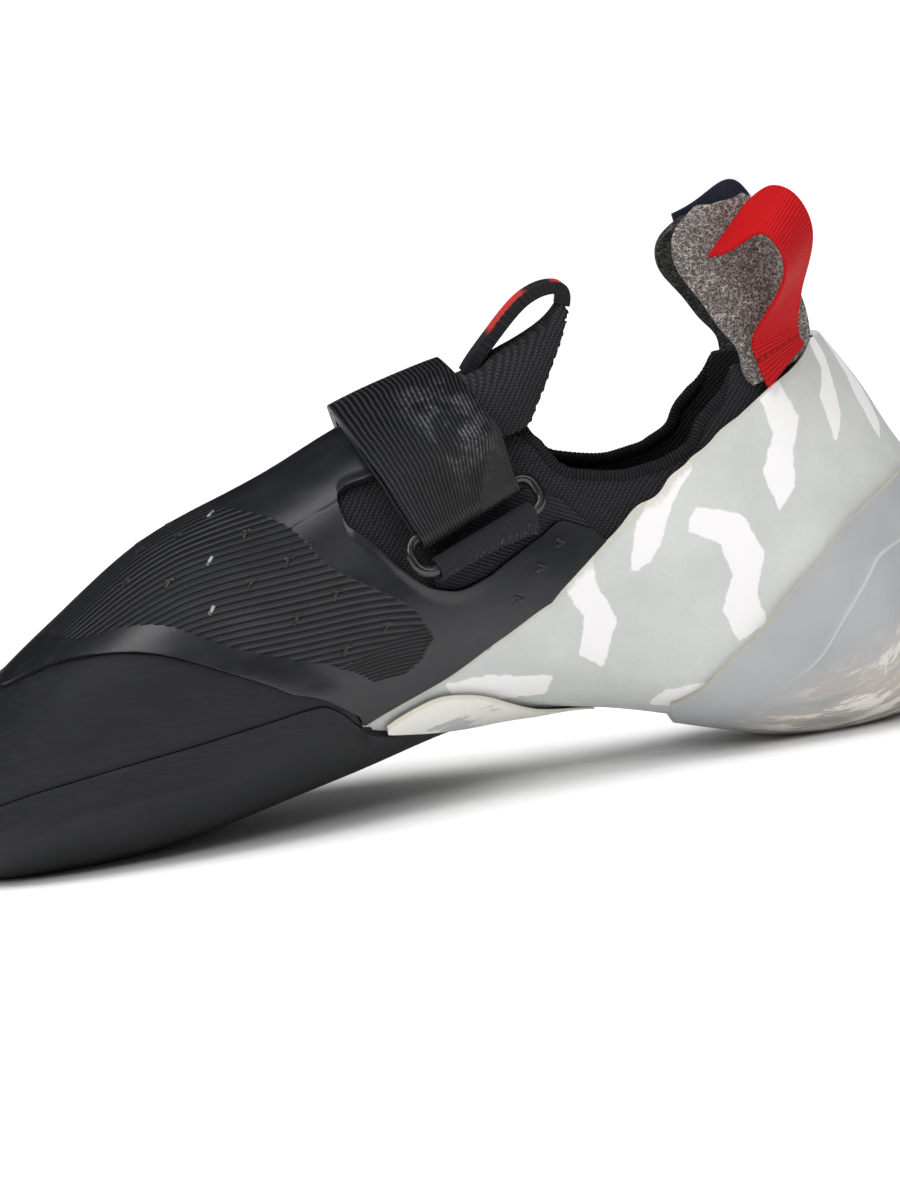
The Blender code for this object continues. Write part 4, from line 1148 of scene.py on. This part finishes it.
# Painted highlight: a thin light line along the moulded line, where its ridge catches the light.
ridge = 1 - patch_grey.field("mould").math("ABSOLUTE").step(0.0001, 0.0005)
ridge = ridge * (u * END).step(13.2, 14.2)
mixed = patch_grey.mix(mixed, (0.62, 0.62, 0.615), ridge * 0.4)
patch_grey.relief(ridge * 0.00018 + grain * 0.00007 + streak * 0.00008 + fine * 0.00006)
patch_grey.set(
    Base_Color=patch_grey.mix(mixed, (0.40, 0.39, 0.30), glue), Roughness=0.40 + smeared * 0.2
)
rows = stations(CAP_FRONT, CAP_BACK, 0.05)
cap = under_sheet("rubber_heel_patch", rows, HEEL_PATCH_TOP, 221, heel_patch_out)
thicken(cap, HEEL_PATCH + OVERLAY_GAP, edge=0.0004)
paint(cap, under_edge=below(HEEL_PATCH_TOP), mould=below(MOULD_LINE))
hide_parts("heel_patch")
finished(cap, patch_grey.material)

# %% [markdown]
# ## Tongue
# A flap of the same knit, sewn round the throat and standing up in front of the ankle. Its free
# edge is ragged, as the knit was cut there, so the edge points are shifted a little.

# %% Tongue
TONGUE_COLUMNS, TONGUE_ROWS = 81, 101
TONGUE_SEWN = ((8.75, 9.15, 0.830), (9.05, 9.70, 0.790), (9.35, 10.35, 0.766))
TONGUE_FREE = (
    (-0.3160, 1.025, -0.2775, 0.2280, 0.880),
    (-0.2950, 1.053, -0.2655, 0.2050, 0.915),
    (-0.2740, 1.075, -0.2530, 0.1750, 0.963),
    (-0.2550, 1.095, -0.2410, 0.1450, 1.014),
    (-0.2385, 1.117, -0.2300, 0.1150, 1.060),
    (-0.2260, 1.142, -0.2215, 0.0900, 1.103),
    (-0.2180, 1.165, -0.2150, 0.0700, 1.143),
)
RAGGED = 0.00016


def across(centre, wing, share):
    """A quarter ellipse from the centre of a row to its wing."""
    return centre + (wing - centre) * (1 - np.cos(pi / 2 * np.abs(share)))


shares = np.linspace(-1, 1, TONGUE_COLUMNS)
key_rows = []
for centre, wing, girth in TONGUE_SEWN:
    turn = (1 - girth) * np.sin(pi / 2 * shares)
    g = np.where(turn < 0, -1 - turn, 1 - turn)
    key_rows.append(lifted(across(centre, wing, shares), g, GAP + TONGUE_SLACK + TONGUE / 2))
for centre_x, centre_z, wing_x, wing_y, wing_z in TONGUE_FREE:
    x = across(centre_x, wing_x, shares) * LENGTH
    y = wing_y * BALL * np.sin(pi / 2 * shares)
    z = STAND + across(centre_z, wing_z, shares) * INSTEP
    key_rows.append(np.stack([x, y, z], -1))
points = natural_spline(key_rows)(np.linspace(0, len(key_rows) - 1, TONGUE_ROWS))
row = np.arange(TONGUE_ROWS)
shake = np.sin(row * 1.1) + 0.6 * np.sin(row * 1.9 + 1)
for column in (0, -1):
    inward = unit(points[:, 1 if column == 0 else -2] - points[:, column])
    points[:, column] += inward * (RAGGED * shake * smooth_step(25, 40, row))[:, None]
tongue = bent_sheet("knit_tongue", points, 0.05, 0.05)
thicken(tongue, TONGUE, side=0.0, edge=0.0006)
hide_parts("tongue")
finished(tongue, knit("tongue knit", 0.00095, (0.012, 0.012, 0.0135)))

# %% [markdown]
# ## Tongue loop
# A folded tape to pull the shoe on by. It is black inside and shows its red face outside, worn
# through to black along the edges.

# %% Tongue loop
TONGUE_LOOP = (
    (-0.3200, 1.022), (-0.3125, 1.046), (-0.3025, 1.073), (-0.2870, 1.113), (-0.2720, 1.150),
    (-0.2560, 1.183), (-0.2400, 1.202), (-0.2280, 1.207), (-0.2185, 1.203), (-0.2145, 1.189),
    (-0.2148, 1.172), (-0.2165, 1.156),
)
TAPE_ROWS, TAPE_COLUMNS = 73, 15
line = natural_spline(TONGUE_LOOP)(np.linspace(0, len(TONGUE_LOOP) - 1, TAPE_ROWS))
widths = np.linspace(-0.5, 0.5, TAPE_COLUMNS) * LOOP_WIDTH
places = (line[:, :1] * LENGTH, widths[None], STAND + line[:, 1:] * INSTEP)
points = np.stack([np.broadcast_to(p, (TAPE_ROWS, TAPE_COLUMNS)) for p in places], -1)


def outer_face(obj, direction):
    """1 on the polygons that face this way, for each corner."""
    facing = np.zeros(len(obj.data.loops))
    for polygon in obj.data.polygons:
        if polygon.normal.dot(Vector(direction)) > 0.1:
            facing[list(polygon.loop_indices)] = 1
    return lambda u, v, place: facing


tape = Finish("tongue tape", BLACK, 0.85, Specular_IOR_Level=0.25)
u, v = tape.uv()
weave = (u + v * 0.5).wave(0.0008) * v.wave(0.0007)
fluff = tape.noise(0.0009, detail=3)
ends = v.band(0.012, 0.022, 0.001) + v.band(0.030, 0.037, 0.001)
red = tape.field("outer") * ends * (1 - (fluff - u.band(0.0005, 0.0115, 0.0004) * 0.25).step(0.42, 0.5))
tape.relief(weave * 0.00014 + fluff * 0.00012)
# Painted highlight and painted shade: the weave is painted lighter on its crests and darker between
# them, with random fluff.
tape.set(
    Base_Color=tape.mix(
        tape.mix((0.005, 0.005, 0.006), (0.03, 0.03, 0.033), weave * 0.5 + fluff * 0.4),
        (0.38, 0.020, 0.014), red,
    )
)
loop = bent_sheet("tongue_tape", points, LOOP_WIDTH, 0.045)
thicken(loop, CORD_TAPE * 1.15, side=0.0, edge=0.0010)
paint(loop, outer=outer_face(loop, (-0.6, 0, 0.8)))
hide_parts("tongue_loop")
finished(loop, tape.material)

# %% [markdown]
# ## Closure
# The strap is sewn down on the outer side, runs over the instep, through the ring and back over
# itself. Its upper run is rubber with fine ribs that fan out, a plain triangle towards the rear
# and a stitched rear edge.

# %% Where the ring lies
RING_FRONT, RING_REAR = (8.38, -0.625), (10.62, -0.693)
KEEPER_FRONT, KEEPER_REAR = (8.80, -0.556), (10.45, -0.608)
STRAP_RUN = (
    (8.25, 0.400, 10.15, 0.370),
    (8.15, 0.280, 10.05, 0.260),
    (8.08, 0.150, 9.95, 0.140),
    (8.04, 0.000, 9.89, 0.000),
    (8.10, -0.120, 9.98, -0.100),
    (8.22, -0.210, 10.12, -0.190),
    (8.38, -0.285, 10.30, -0.250),
)

reach = GAP + PATCH + GAP + STRAP_LIFT + STRAP + GAP + RING_WIRE / 2
front, rear = (lifted(*place, reach) for place in (RING_FRONT, RING_REAR))
ring_along = (rear - front) / np.linalg.norm(rear - front)
ring_middle = [(a + b) / 2 for a, b in zip(RING_FRONT, RING_REAR)]
ring_out = off_last(*ring_middle)
ring_out = ring_out - ring_along * (ring_out @ ring_along)
ring_out /= np.linalg.norm(ring_out)
ring_down = np.cross(ring_along, ring_out)
ring_down *= -np.sign(ring_down[2])
bulge = lifted(*ring_middle, reach) - (front + rear) / 2
ring_centre = (front + rear) / 2 + ring_out * max(bulge @ ring_out, 0)
print("ring", np.round(ring_centre, 4).tolist())

# %% Strap
STRAP_COLUMNS, STRAP_STEPS, TURN_STEPS = 37, 64, 16
STRAP_WIDTH = RING_LENGTH - RING_WIRE - 2 * RING_CORNER - 2 * GAP


def wrap(centre, width, radius, start, end, steps, columns):
    """Rows of a webbing round a bar, from under it to over it."""
    turn = np.radians(np.linspace(start, end, steps + 1))[:, None, None]
    spot = centre + radius * (-np.cos(turn) * ring_out + np.sin(turn) * ring_down)
    return spot + ring_along * (width * np.linspace(-0.5, 0.5, columns))[None, :, None]


def strap_rows(offset, settle, rise):
    run = natural_spline(STRAP_RUN)(np.linspace(0, len(STRAP_RUN) - 1, STRAP_STEPS + 1))
    front_s, front_t, rear_s, rear_t = (column[:, None] for column in run.T)
    share = np.linspace(0, 1, STRAP_COLUMNS)[None, :]
    s = front_s + (rear_s - front_s) * share
    turn = front_t + (rear_t - front_t) * share
    g = np.where(turn >= 0, 1 - turn, -1 - turn)
    along = np.linspace(0, 1, STRAP_STEPS + 1)[:, None]
    lift = offset - settle * (1 - smooth_step(0, 0.15, along)) + rise * smooth_step(0.6, 1, along)
    return lifted(s, g, lift)


beneath = max(PATCH, TONGUE + 2 * TONGUE_SLACK)
strap_under = GAP + beneath + GAP + STRAP_LIFT + STRAP / 2
strap_over = strap_under + STRAP + GAP + STRAP_LIFT
settle = beneath - PATCH + STRAP_LIFT
turn_rows = wrap(
    ring_centre, STRAP_WIDTH, RING_WIRE / 2 + GAP + STRAP / 2, 0, 180, TURN_STEPS, STRAP_COLUMNS
)
outer_rows = strap_rows(strap_over, settle, RING_WIRE + GAP)[::-1]
rows = np.concatenate([strap_rows(strap_under, settle, 0.0), turn_rows, outer_rows])
strap_long = run_length(rows[:, STRAP_COLUMNS // 2])
fold = strap_long[STRAP_STEPS + 1 + TURN_STEPS // 2]
strap_uv = mesh_uv(np.linspace(0, STRAP_WIDTH, STRAP_COLUMNS), strap_long - fold)
strap_rubber = Finish("strap rubber", (0.016, 0.016, 0.018), 0.42)
u, v = strap_rubber.uv()
share = u / STRAP_WIDTH
climb = v.math("ABSOLUTE")
fan = u * (1 + 0.45 * (1 - (climb / 0.045).math("MINIMUM", 1.0)))
wander = (strap_rubber.noise(0.009) - 0.5) * 0.0007
rib = (fan + wander).wave(0.00115)
plain = (share - 0.55 - climb * 19.0).step(0.0, 0.02) * v.step(0.001, 0.002)
seam = (u - (STRAP_WIDTH - 0.0012)).math("ABSOLUTE")
stitch = (1 - seam.step(0.0001, 0.0003)) * v.wave(0.0016).step(0.3, 0.6)
rubbed = strap_rubber.noise(0.0075, detail=5, rough=0.65)
grain = strap_rubber.noise(0.0005, detail=3)
# Pale marks on the rib crests in one area of the strap, spread by noise.
pale_marks = rubbed.step(0.45, 0.62) * (share.band(0.42, 0.90, 0.12) * climb.band(0.010, 0.040, 0.006))
ribbed = rib * (1 - plain)
strap_rubber.relief(ribbed * 0.0005 + grain * 0.00005 - stitch * 0.0002)
# Painted shade and painted highlight: the grooves between the ribs are painted near black and the rib
# crests lighter.
tone = strap_rubber.mix((0.0015, 0.0015, 0.002), (0.027, 0.027, 0.030), ribbed + plain * 0.3)
tone = strap_rubber.mix(tone, (0.24, 0.24, 0.25), pale_marks * (rib * 0.6 + 0.08) * grain.step(0.35, 0.6))
strap_rubber.set(Base_Color=tone, Roughness=0.40 + rubbed * 0.2 + plain * 0.2)
strap = grid_piece("ribbed_strap", rows, strap_uv)
thicken(strap, STRAP, side=0.0, edge=0.0003)
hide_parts("strap")
finished(strap, strap_rubber.material)

# %% [markdown]
# ## Ring
# A rectangle of lacquered wire with round corners. It starts as Blender's torus, whose rings of
# vertices are moved onto the rectangle.

# %% Ring
RING_SIDES = 20
half_long = (RING_LENGTH - RING_WIRE) / 2
half_short = (RING_HEIGHT - RING_WIRE) / 2
corner = min(RING_CORNER, half_short)
ring_middle = ring_centre + ring_down * half_short
path = []
for quarter in range(4):
    turn_x = (1, -1, -1, 1)[quarter]
    turn_y = (1, 1, -1, -1)[quarter]
    spot = ring_middle + ring_along * turn_x * (half_long - corner)
    spot = spot + ring_down * turn_y * (half_short - corner)
    for k in range(13):
        angle = pi / 2 * (quarter + k / 12)
        path.append(spot + corner * (cos(angle) * ring_along + sin(angle) * ring_down))
path = np.array(path)
ahead = unit(np.roll(path, -1, 0) - np.roll(path, 1, 0))
deselect()
bpy.ops.mesh.primitive_torus_add(
    major_segments=len(path), minor_segments=RING_SIDES, major_radius=0.02, minor_radius=0.002
)
ring = bpy.context.object
ring.name = ring.data.name = "wire_ring"
turns = np.arange(RING_SIDES) * 2 * pi / RING_SIDES
side = np.cross(ahead, ring_out)
points = path[:, None] + RING_WIRE / 2 * (
    np.cos(turns)[None, :, None] * side[:, None] + np.sin(turns)[None, :, None] * ring_out[None, None]
)
ring.data.vertices.foreach_set("co", points.astype(np.float32).ravel())
ring.data.update()
faced_outward(ring)
lacquer = Finish("black lacquer", (0.010, 0.010, 0.011), 0.22, Coat_Weight=0.4, Coat_Roughness=0.15)
rub = lacquer.noise(0.003, detail=4)
lacquer.relief(rub * 0.00003)
lacquer.set(
    Base_Color=lacquer.mix((0.009, 0.009, 0.010), (0.05, 0.05, 0.052), rub.step(0.6, 0.75)),
    Roughness=0.18 + rub * 0.22,
)
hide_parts("strap_ring")
finished(ring, lacquer.material)

# %% [markdown]
# ## Ring keeper
# A short twill webbing folded round the ring's lower bar, with both ends sewn down.

# %% Ring keeper
KEEPER_COLUMNS = 25
bar = ring_centre + ring_down * (RING_HEIGHT - RING_WIRE)


def sewn_row(offset):
    """The keeper's end on the upper, from its front corner to its rear one."""
    share = np.linspace(0, 1, KEEPER_COLUMNS)
    s = KEEPER_FRONT[0] + (KEEPER_REAR[0] - KEEPER_FRONT[0]) * share
    g = KEEPER_FRONT[1] + (KEEPER_REAR[1] - KEEPER_FRONT[1]) * share
    return lifted(s, g, offset)


twill = Finish("twill", (0.012, 0.012, 0.015), 0.8, Specular_IOR_Level=0.3)
u, v = twill.uv()
rope = (u + v * 0.8).wave(0.0011)
thread = (u - v * 1.6).wave(0.0006)
fluff = twill.noise(0.0009, detail=4)
frayed = fluff.step(0.55, 0.75) * (1 - v.band(0.0022, 0.0158, 0.0008))
twill.relief(rope * 0.00022 + thread * rope * 0.0001 + fluff * 0.0001)
# Painted highlight and painted shade: the twill's cords are painted lighter on their crests and darker
# between them. The frayed ends are pale.
twill.set(
    Base_Color=twill.mix(
        twill.mix((0.004, 0.004, 0.006), (0.036, 0.036, 0.042), rope * 0.7 + thread * 0.2),
        (0.22, 0.22, 0.22), frayed * 0.6,
    )
)
inner = GAP + WEB / 2
turn_rows = wrap(bar, KEEPER_WIDTH, RING_WIRE / 2 + GAP + WEB / 2, -40, -255, 20, KEEPER_COLUMNS)
rows = np.concatenate([sewn_row(inner)[None], turn_rows, sewn_row(inner + WEB + GAP)[None]])
keeper = bent_sheet("keeper_webbing", rows, KEEPER_WIDTH, 0.018)
thicken(keeper, WEB, side=0.0, edge=0.0003)
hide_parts("ring_keeper")
finished(keeper, twill.material)

# %% [markdown]
# The same webbing runs on from the keeper as a flat wing, sewn to the knit under the arm's edge.
# It is a thin sheet on the last, between the arm and a line that falls towards the rear.

# %% Webbing wing
WING_TOP = edge_curve((
    (8.55, 0.560), (9.00, 0.592), (9.60, 0.640), (10.20, 0.672), (10.70, 0.676), (11.20, 0.664),
    (11.60, 0.632),
))
WING_THICK = 0.0004
WING_FRONT, WING_REAR = 8.75, 11.55  # stations


def wing_low(s):
    return -(BAY_LOW(s) + 0.003)


def wing_high(s):
    return -np.maximum(WING_TOP(s), BAY_LOW(s) + 0.004)


rows = stations(WING_FRONT, WING_REAR, 0.05)
wing = last_sheet("webbing_wing", rows, wing_low, wing_high, 21, GAP + WING_THICK)
thicken(wing, WING_THICK, edge=0.0001)
wing_twill = Finish("wing twill", (0.012, 0.012, 0.015), 0.8, Specular_IOR_Level=0.3)
x, y, z = wing_twill.xyz()
rope = (x * 0.5 + z).wave(0.0010)
thread = (x - z * 0.6).wave(0.0007)
fluff = wing_twill.noise(0.0009, detail=4)
wing_twill.relief(rope * 0.0002 + thread * rope * 0.0001 + fluff * 0.0001)
# Painted highlight and painted shade: the cords are painted lighter on their crests and darker between
# them, with random fluff.
wing_twill.set(
    Base_Color=wing_twill.mix((0.004, 0.004, 0.006), (0.040, 0.040, 0.048), rope * 0.6 + fluff * 0.3)
)
finished(wing, wing_twill.material)

# %% [markdown]
# ## Heel tabs
# Two ears of thick heathered felt beside the back of the heel, to protect the tendon.

# %% Felt
TAB_SEWN = ((21.35, 0.400, 21.95, 0.205), (21.75, 0.395, 22.00, 0.165))
TAB_FREE = (
    (-0.0620, 0.2480, 1.020, 0.0120, 0.1450, 1.045),
    (-0.0760, 0.2450, 1.085, 0.0100, 0.1500, 1.110),
    (-0.0895, 0.2390, 1.160, 0.0035, 0.1580, 1.183),
    (-0.1050, 0.2330, 1.235, -0.0040, 0.1640, 1.255),
    (-0.1100, 0.2270, 1.300, -0.0120, 0.1710, 1.325),
    (-0.1020, 0.2220, 1.358, -0.0175, 0.1770, 1.380),
    (-0.0780, 0.2160, 1.404, -0.0340, 0.1840, 1.415),
)
TAB_BULGE = 0.0020
FAR_TAB_LOWER = 0.86  # the far tab has slumped a little
TAB_FOOT = 1.02


def brushed_felt(name, dark, light):
    """Matted felt: curly hairs lie over darker ground, under a cloudy nap."""
    finish = Finish(name, dark, 0.95, Specular_IOR_Level=0.15, Sheen_Weight=0.05)
    cloud = finish.noise(0.006, detail=4, rough=0.65)
    hairs = []
    for size, turn in ((0.0011, (1, 1, 1)), (0.0014, (0.7, 1, 1.3)), (0.0009, (1.2, 1, 0.8))):
        curl = finish.noise(size, detail=2, rough=0.4, stretch=turn)
        hairs.append(1 - (curl - 0.5).math("ABSOLUTE").step(0.006, 0.035))
    hair = hairs[0].math("MAXIMUM", hairs[1]).math("MAXIMUM", hairs[2] * 0.8)
    grain = finish.noise(0.0004, detail=2)
    finish.relief(hair * 0.00035 + cloud * 0.0009 + grain * 0.0002)
    tone = (hair * 0.75 + grain * 0.35 + cloud * 0.45 - 0.25).step(0.05, 0.95)
    return finish.set(Base_Color=finish.mix(dark, light, tone))


def heel_tab(name, side, node, material, rise=1.0):
    """An ear of felt, sewn outside the rim. rise below 1 lets it slump."""
    share = np.linspace(0, 1, 41)
    key_rows = []
    for front_s, front_g, rear_s, rear_g in TAB_SEWN:
        s = front_s + (rear_s - front_s) * share
        g = front_g + (rear_g - front_g) * share
        key_rows.append(lifted(s, side * g, GAP + TAB / 2))
    for fx, fy, fz, rx, ry, rz in TAB_FREE:
        x = (fx + (rx - fx) * share) * LENGTH
        y = (fy + (ry - fy) * share) * BALL + TAB_BULGE * 4 * share * (1 - share)
        z = STAND + (TAB_FOOT + (fz + (rz - fz) * share - TAB_FOOT) * rise) * HEEL
        key_rows.append(np.stack([x, side * y, z], -1))
    surface = natural_spline(key_rows)
    tab = bent_sheet(name, surface(np.linspace(0, len(key_rows) - 1, 81)), 0.025, 0.045)
    thicken(tab, TAB, side=0.0, edge=0.0008)
    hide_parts(node)
    return finished(tab, material)


near_felt = brushed_felt("light felt", (0.070, 0.061, 0.055), (0.52, 0.475, 0.445))
far_felt = brushed_felt("dark felt", (0.014, 0.014, 0.014), (0.095, 0.094, 0.090))
heel_tab("felt_tab_medial", MEDIAL, "heel_tab_medial", near_felt)
heel_tab("felt_tab_lateral", LATERAL, "heel_tab_lateral", far_felt, FAR_TAB_LOWER)

# %% [markdown]
# ## Pull loops
# Grosgrain ribbons sewn to the tabs, one red and one navy, ribbed across their length.

# %% Pull loops
MEDIAL_LOOP = (
    (-0.0770, 0.2540, 1.275, -0.0300, 0.2190, 1.395),
    (-0.0575, 0.3000, 1.285, -0.0125, 0.2620, 1.428),
    (-0.0365, 0.3600, 1.318, -0.0010, 0.3100, 1.432),
    (-0.0245, 0.3950, 1.318, 0.0090, 0.3400, 1.415),
    (-0.0170, 0.4150, 1.290, 0.0170, 0.3560, 1.380),
    (-0.0120, 0.4150, 1.250, 0.0220, 0.3560, 1.330),
    (-0.0125, 0.4000, 1.208, 0.0210, 0.3440, 1.278),
    (-0.0180, 0.3750, 1.168, 0.0150, 0.3200, 1.222),
    (-0.0290, 0.3420, 1.122, 0.0070, 0.2900, 1.160),
    (-0.0420, 0.3120, 1.075, 0.0020, 0.2560, 1.097),
    (-0.0485, 0.2880, 1.020, 0.0000, 0.2250, 1.050),
    (-0.0392, 0.2760, 0.910, 0.0035, 0.2080, 1.000),
)
LATERAL_LOOP = (
    (-0.0800, 0.2620, 1.232, -0.0870, 0.2480, 1.366),
    (-0.0560, 0.3050, 1.250, -0.0600, 0.2750, 1.389),
    (-0.0340, 0.3450, 1.260, -0.0320, 0.3000, 1.425),
    (-0.0220, 0.3650, 1.245, -0.0140, 0.3120, 1.418),
    (-0.0165, 0.3700, 1.205, -0.0020, 0.3150, 1.365),
    (-0.0180, 0.3620, 1.160, 0.0070, 0.3080, 1.290),
    (-0.0270, 0.3420, 1.110, 0.0080, 0.2850, 1.200),
    (-0.0400, 0.3120, 1.060, 0.0040, 0.2480, 1.110),
    (-0.0470, 0.2930, 1.010, 0.0005, 0.2280, 1.050),
    (-0.0460, 0.2870, 0.962, 0.0035, 0.2120, 1.010),
)
RIBBON_LONG, RIBBON_WIDE = 0.052, 0.0145
RIBBON_COLUMNS = 17


def grosgrain(name, dark, light, thread):
    """Ribbon with ribs across it, a firmer edge and a row of stitches."""
    finish = Finish(name, light, 0.6, Specular_IOR_Level=0.18)
    u, v = finish.uv()
    rib = v.wave(0.00075)
    weave = u.wave(0.0005)
    fluff = finish.noise(0.0008, detail=3)
    selvedge = 1 - u.band(0.0006, RIBBON_WIDE - 0.0006, 0.0002)
    seam = (v - (RIBBON_LONG - 0.0045)).math("ABSOLUTE")
    sewn = (1 - seam.step(0.0002, 0.0004)) * u.wave(0.0021).step(0.25, 0.4)
    finish.relief(rib * 0.00016 + weave * 0.00003 + selvedge * 0.0001 + fluff * 0.00004)
    # Painted highlight and painted shade: the ribs are painted lighter on their crests and darker in the
    # grooves, with a little weave and fluff.
    tone = finish.mix(dark, light, rib * 0.75 + weave * 0.1 + fluff * 0.15)
    return finish.set(Base_Color=finish.mix(tone, thread, sewn))


def pull_loop(name, side, table, node, material):
    """A ribbon between two edges, both given as shares of length, ball and heel."""
    count = len(table)
    line = natural_spline(table)(np.linspace(0, count - 1, 12 * (count - 1) + 1))
    low = np.stack([line[:, 0] * LENGTH, side * line[:, 1] * BALL, STAND + line[:, 2] * HEEL], -1)
    high = np.stack([line[:, 3] * LENGTH, side * line[:, 4] * BALL, STAND + line[:, 5] * HEEL], -1)
    share = np.linspace(0, 1, RIBBON_COLUMNS)[None, :, None]
    points = low[:, None] + (high - low)[:, None] * share
    along = run_length(points[:, RIBBON_COLUMNS // 2])
    along *= RIBBON_LONG / along[-1]
    ribbon = grid_piece(name, points, mesh_uv(np.linspace(0, RIBBON_WIDE, RIBBON_COLUMNS), along))
    thicken(ribbon, RIBBON, side=0.0, edge=0.0003)
    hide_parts(node)
    return finished(ribbon, material)


red = grosgrain("red grosgrain", (0.28, 0.0005, 0.001), (0.55, 0.002, 0.005), (0.20, 0.002, 0.004))
navy = grosgrain("navy grosgrain", (0.007, 0.008, 0.016), (0.030, 0.033, 0.058), (0.06, 0.06, 0.08))
pull_loop("ribbon_loop_medial", MEDIAL, MEDIAL_LOOP, "pull_loop_medial", red)
pull_loop("ribbon_loop_lateral", LATERAL, LATERAL_LOOP, "pull_loop_lateral", navy)

# %% [markdown]
# ## Floor and light
# A product photograph on white. One very soft light from above whitens the floor evenly and gives
# the shoe its faint shadow. The sky is white only behind the shoe and dim elsewhere, so that
# black rubber stays black, and three soft boxes draw the long highlights.

# %% Floor and light
deselect()
bpy.ops.mesh.primitive_plane_add(size=60, location=(0, 0, 0))
floor = bpy.context.object
floor.name = "floor"
floor_finish = Finish("floor", (0.93, 0.93, 0.93), 0.95, Specular_IOR_Level=0.1)
floor.data.materials.append(floor_finish.material)

SKY_BEHIND, SKY_AROUND = 1.05, 0.28
world = bpy.data.worlds.new("studio")
bpy.context.scene.world = world
world.use_nodes = True
nodes, links = world.node_tree.nodes, world.node_tree.links
direction = nodes.new("ShaderNodeTexCoord")
split = nodes.new("ShaderNodeSeparateXYZ")
brightness = nodes.new("ShaderNodeMapRange")
brightness.inputs["From Min"].default_value = 0.80
brightness.inputs["From Max"].default_value = 0.94
brightness.inputs["To Min"].default_value = SKY_AROUND
brightness.inputs["To Max"].default_value = SKY_BEHIND
links.new(direction.outputs["Generated"], split.inputs[0])
links.new(split.outputs["Y"], brightness.inputs["Value"])
nodes["Background"].inputs[0].default_value = (1, 1, 1, 1)
links.new(brightness.outputs[0], nodes["Background"].inputs[1])
world.cycles_visibility.glossy = False
bpy.context.scene.view_settings.view_transform = "Standard"

deselect()
bpy.ops.object.light_add(type="SUN", location=(0, 0, 2), rotation=(radians(-12), radians(-8), 0))
above_all = bpy.context.object
above_all.name = "overhead"
above_all.data.energy = 3.1
above_all.data.angle = radians(70)
above_all.visible_glossy = False


SHOE_MIDDLE = Vector((-0.1, 0, 0.05))
SOFTBOXES = (
    ("front_left", (-0.75, -0.95, 0.80), (0.60, 0.30), 3.0),
    ("front_right", (0.45, -1.0, 0.95), (0.50, 0.30), 2.2),
    ("top", (-0.42, -0.50, 1.05), (0.30, 0.75), 4.0),
)
for name, place, size, watts in SOFTBOXES:
    deselect()
    bpy.ops.object.light_add(type="AREA", location=place)
    light = bpy.context.object
    light.name = name
    light.data.shape = "RECTANGLE"
    light.data.size, light.data.size_y = size
    light.data.energy = watts
    light.rotation_euler = (SHOE_MIDDLE - Vector(place)).to_track_quat("-Z", "Y").to_euler()
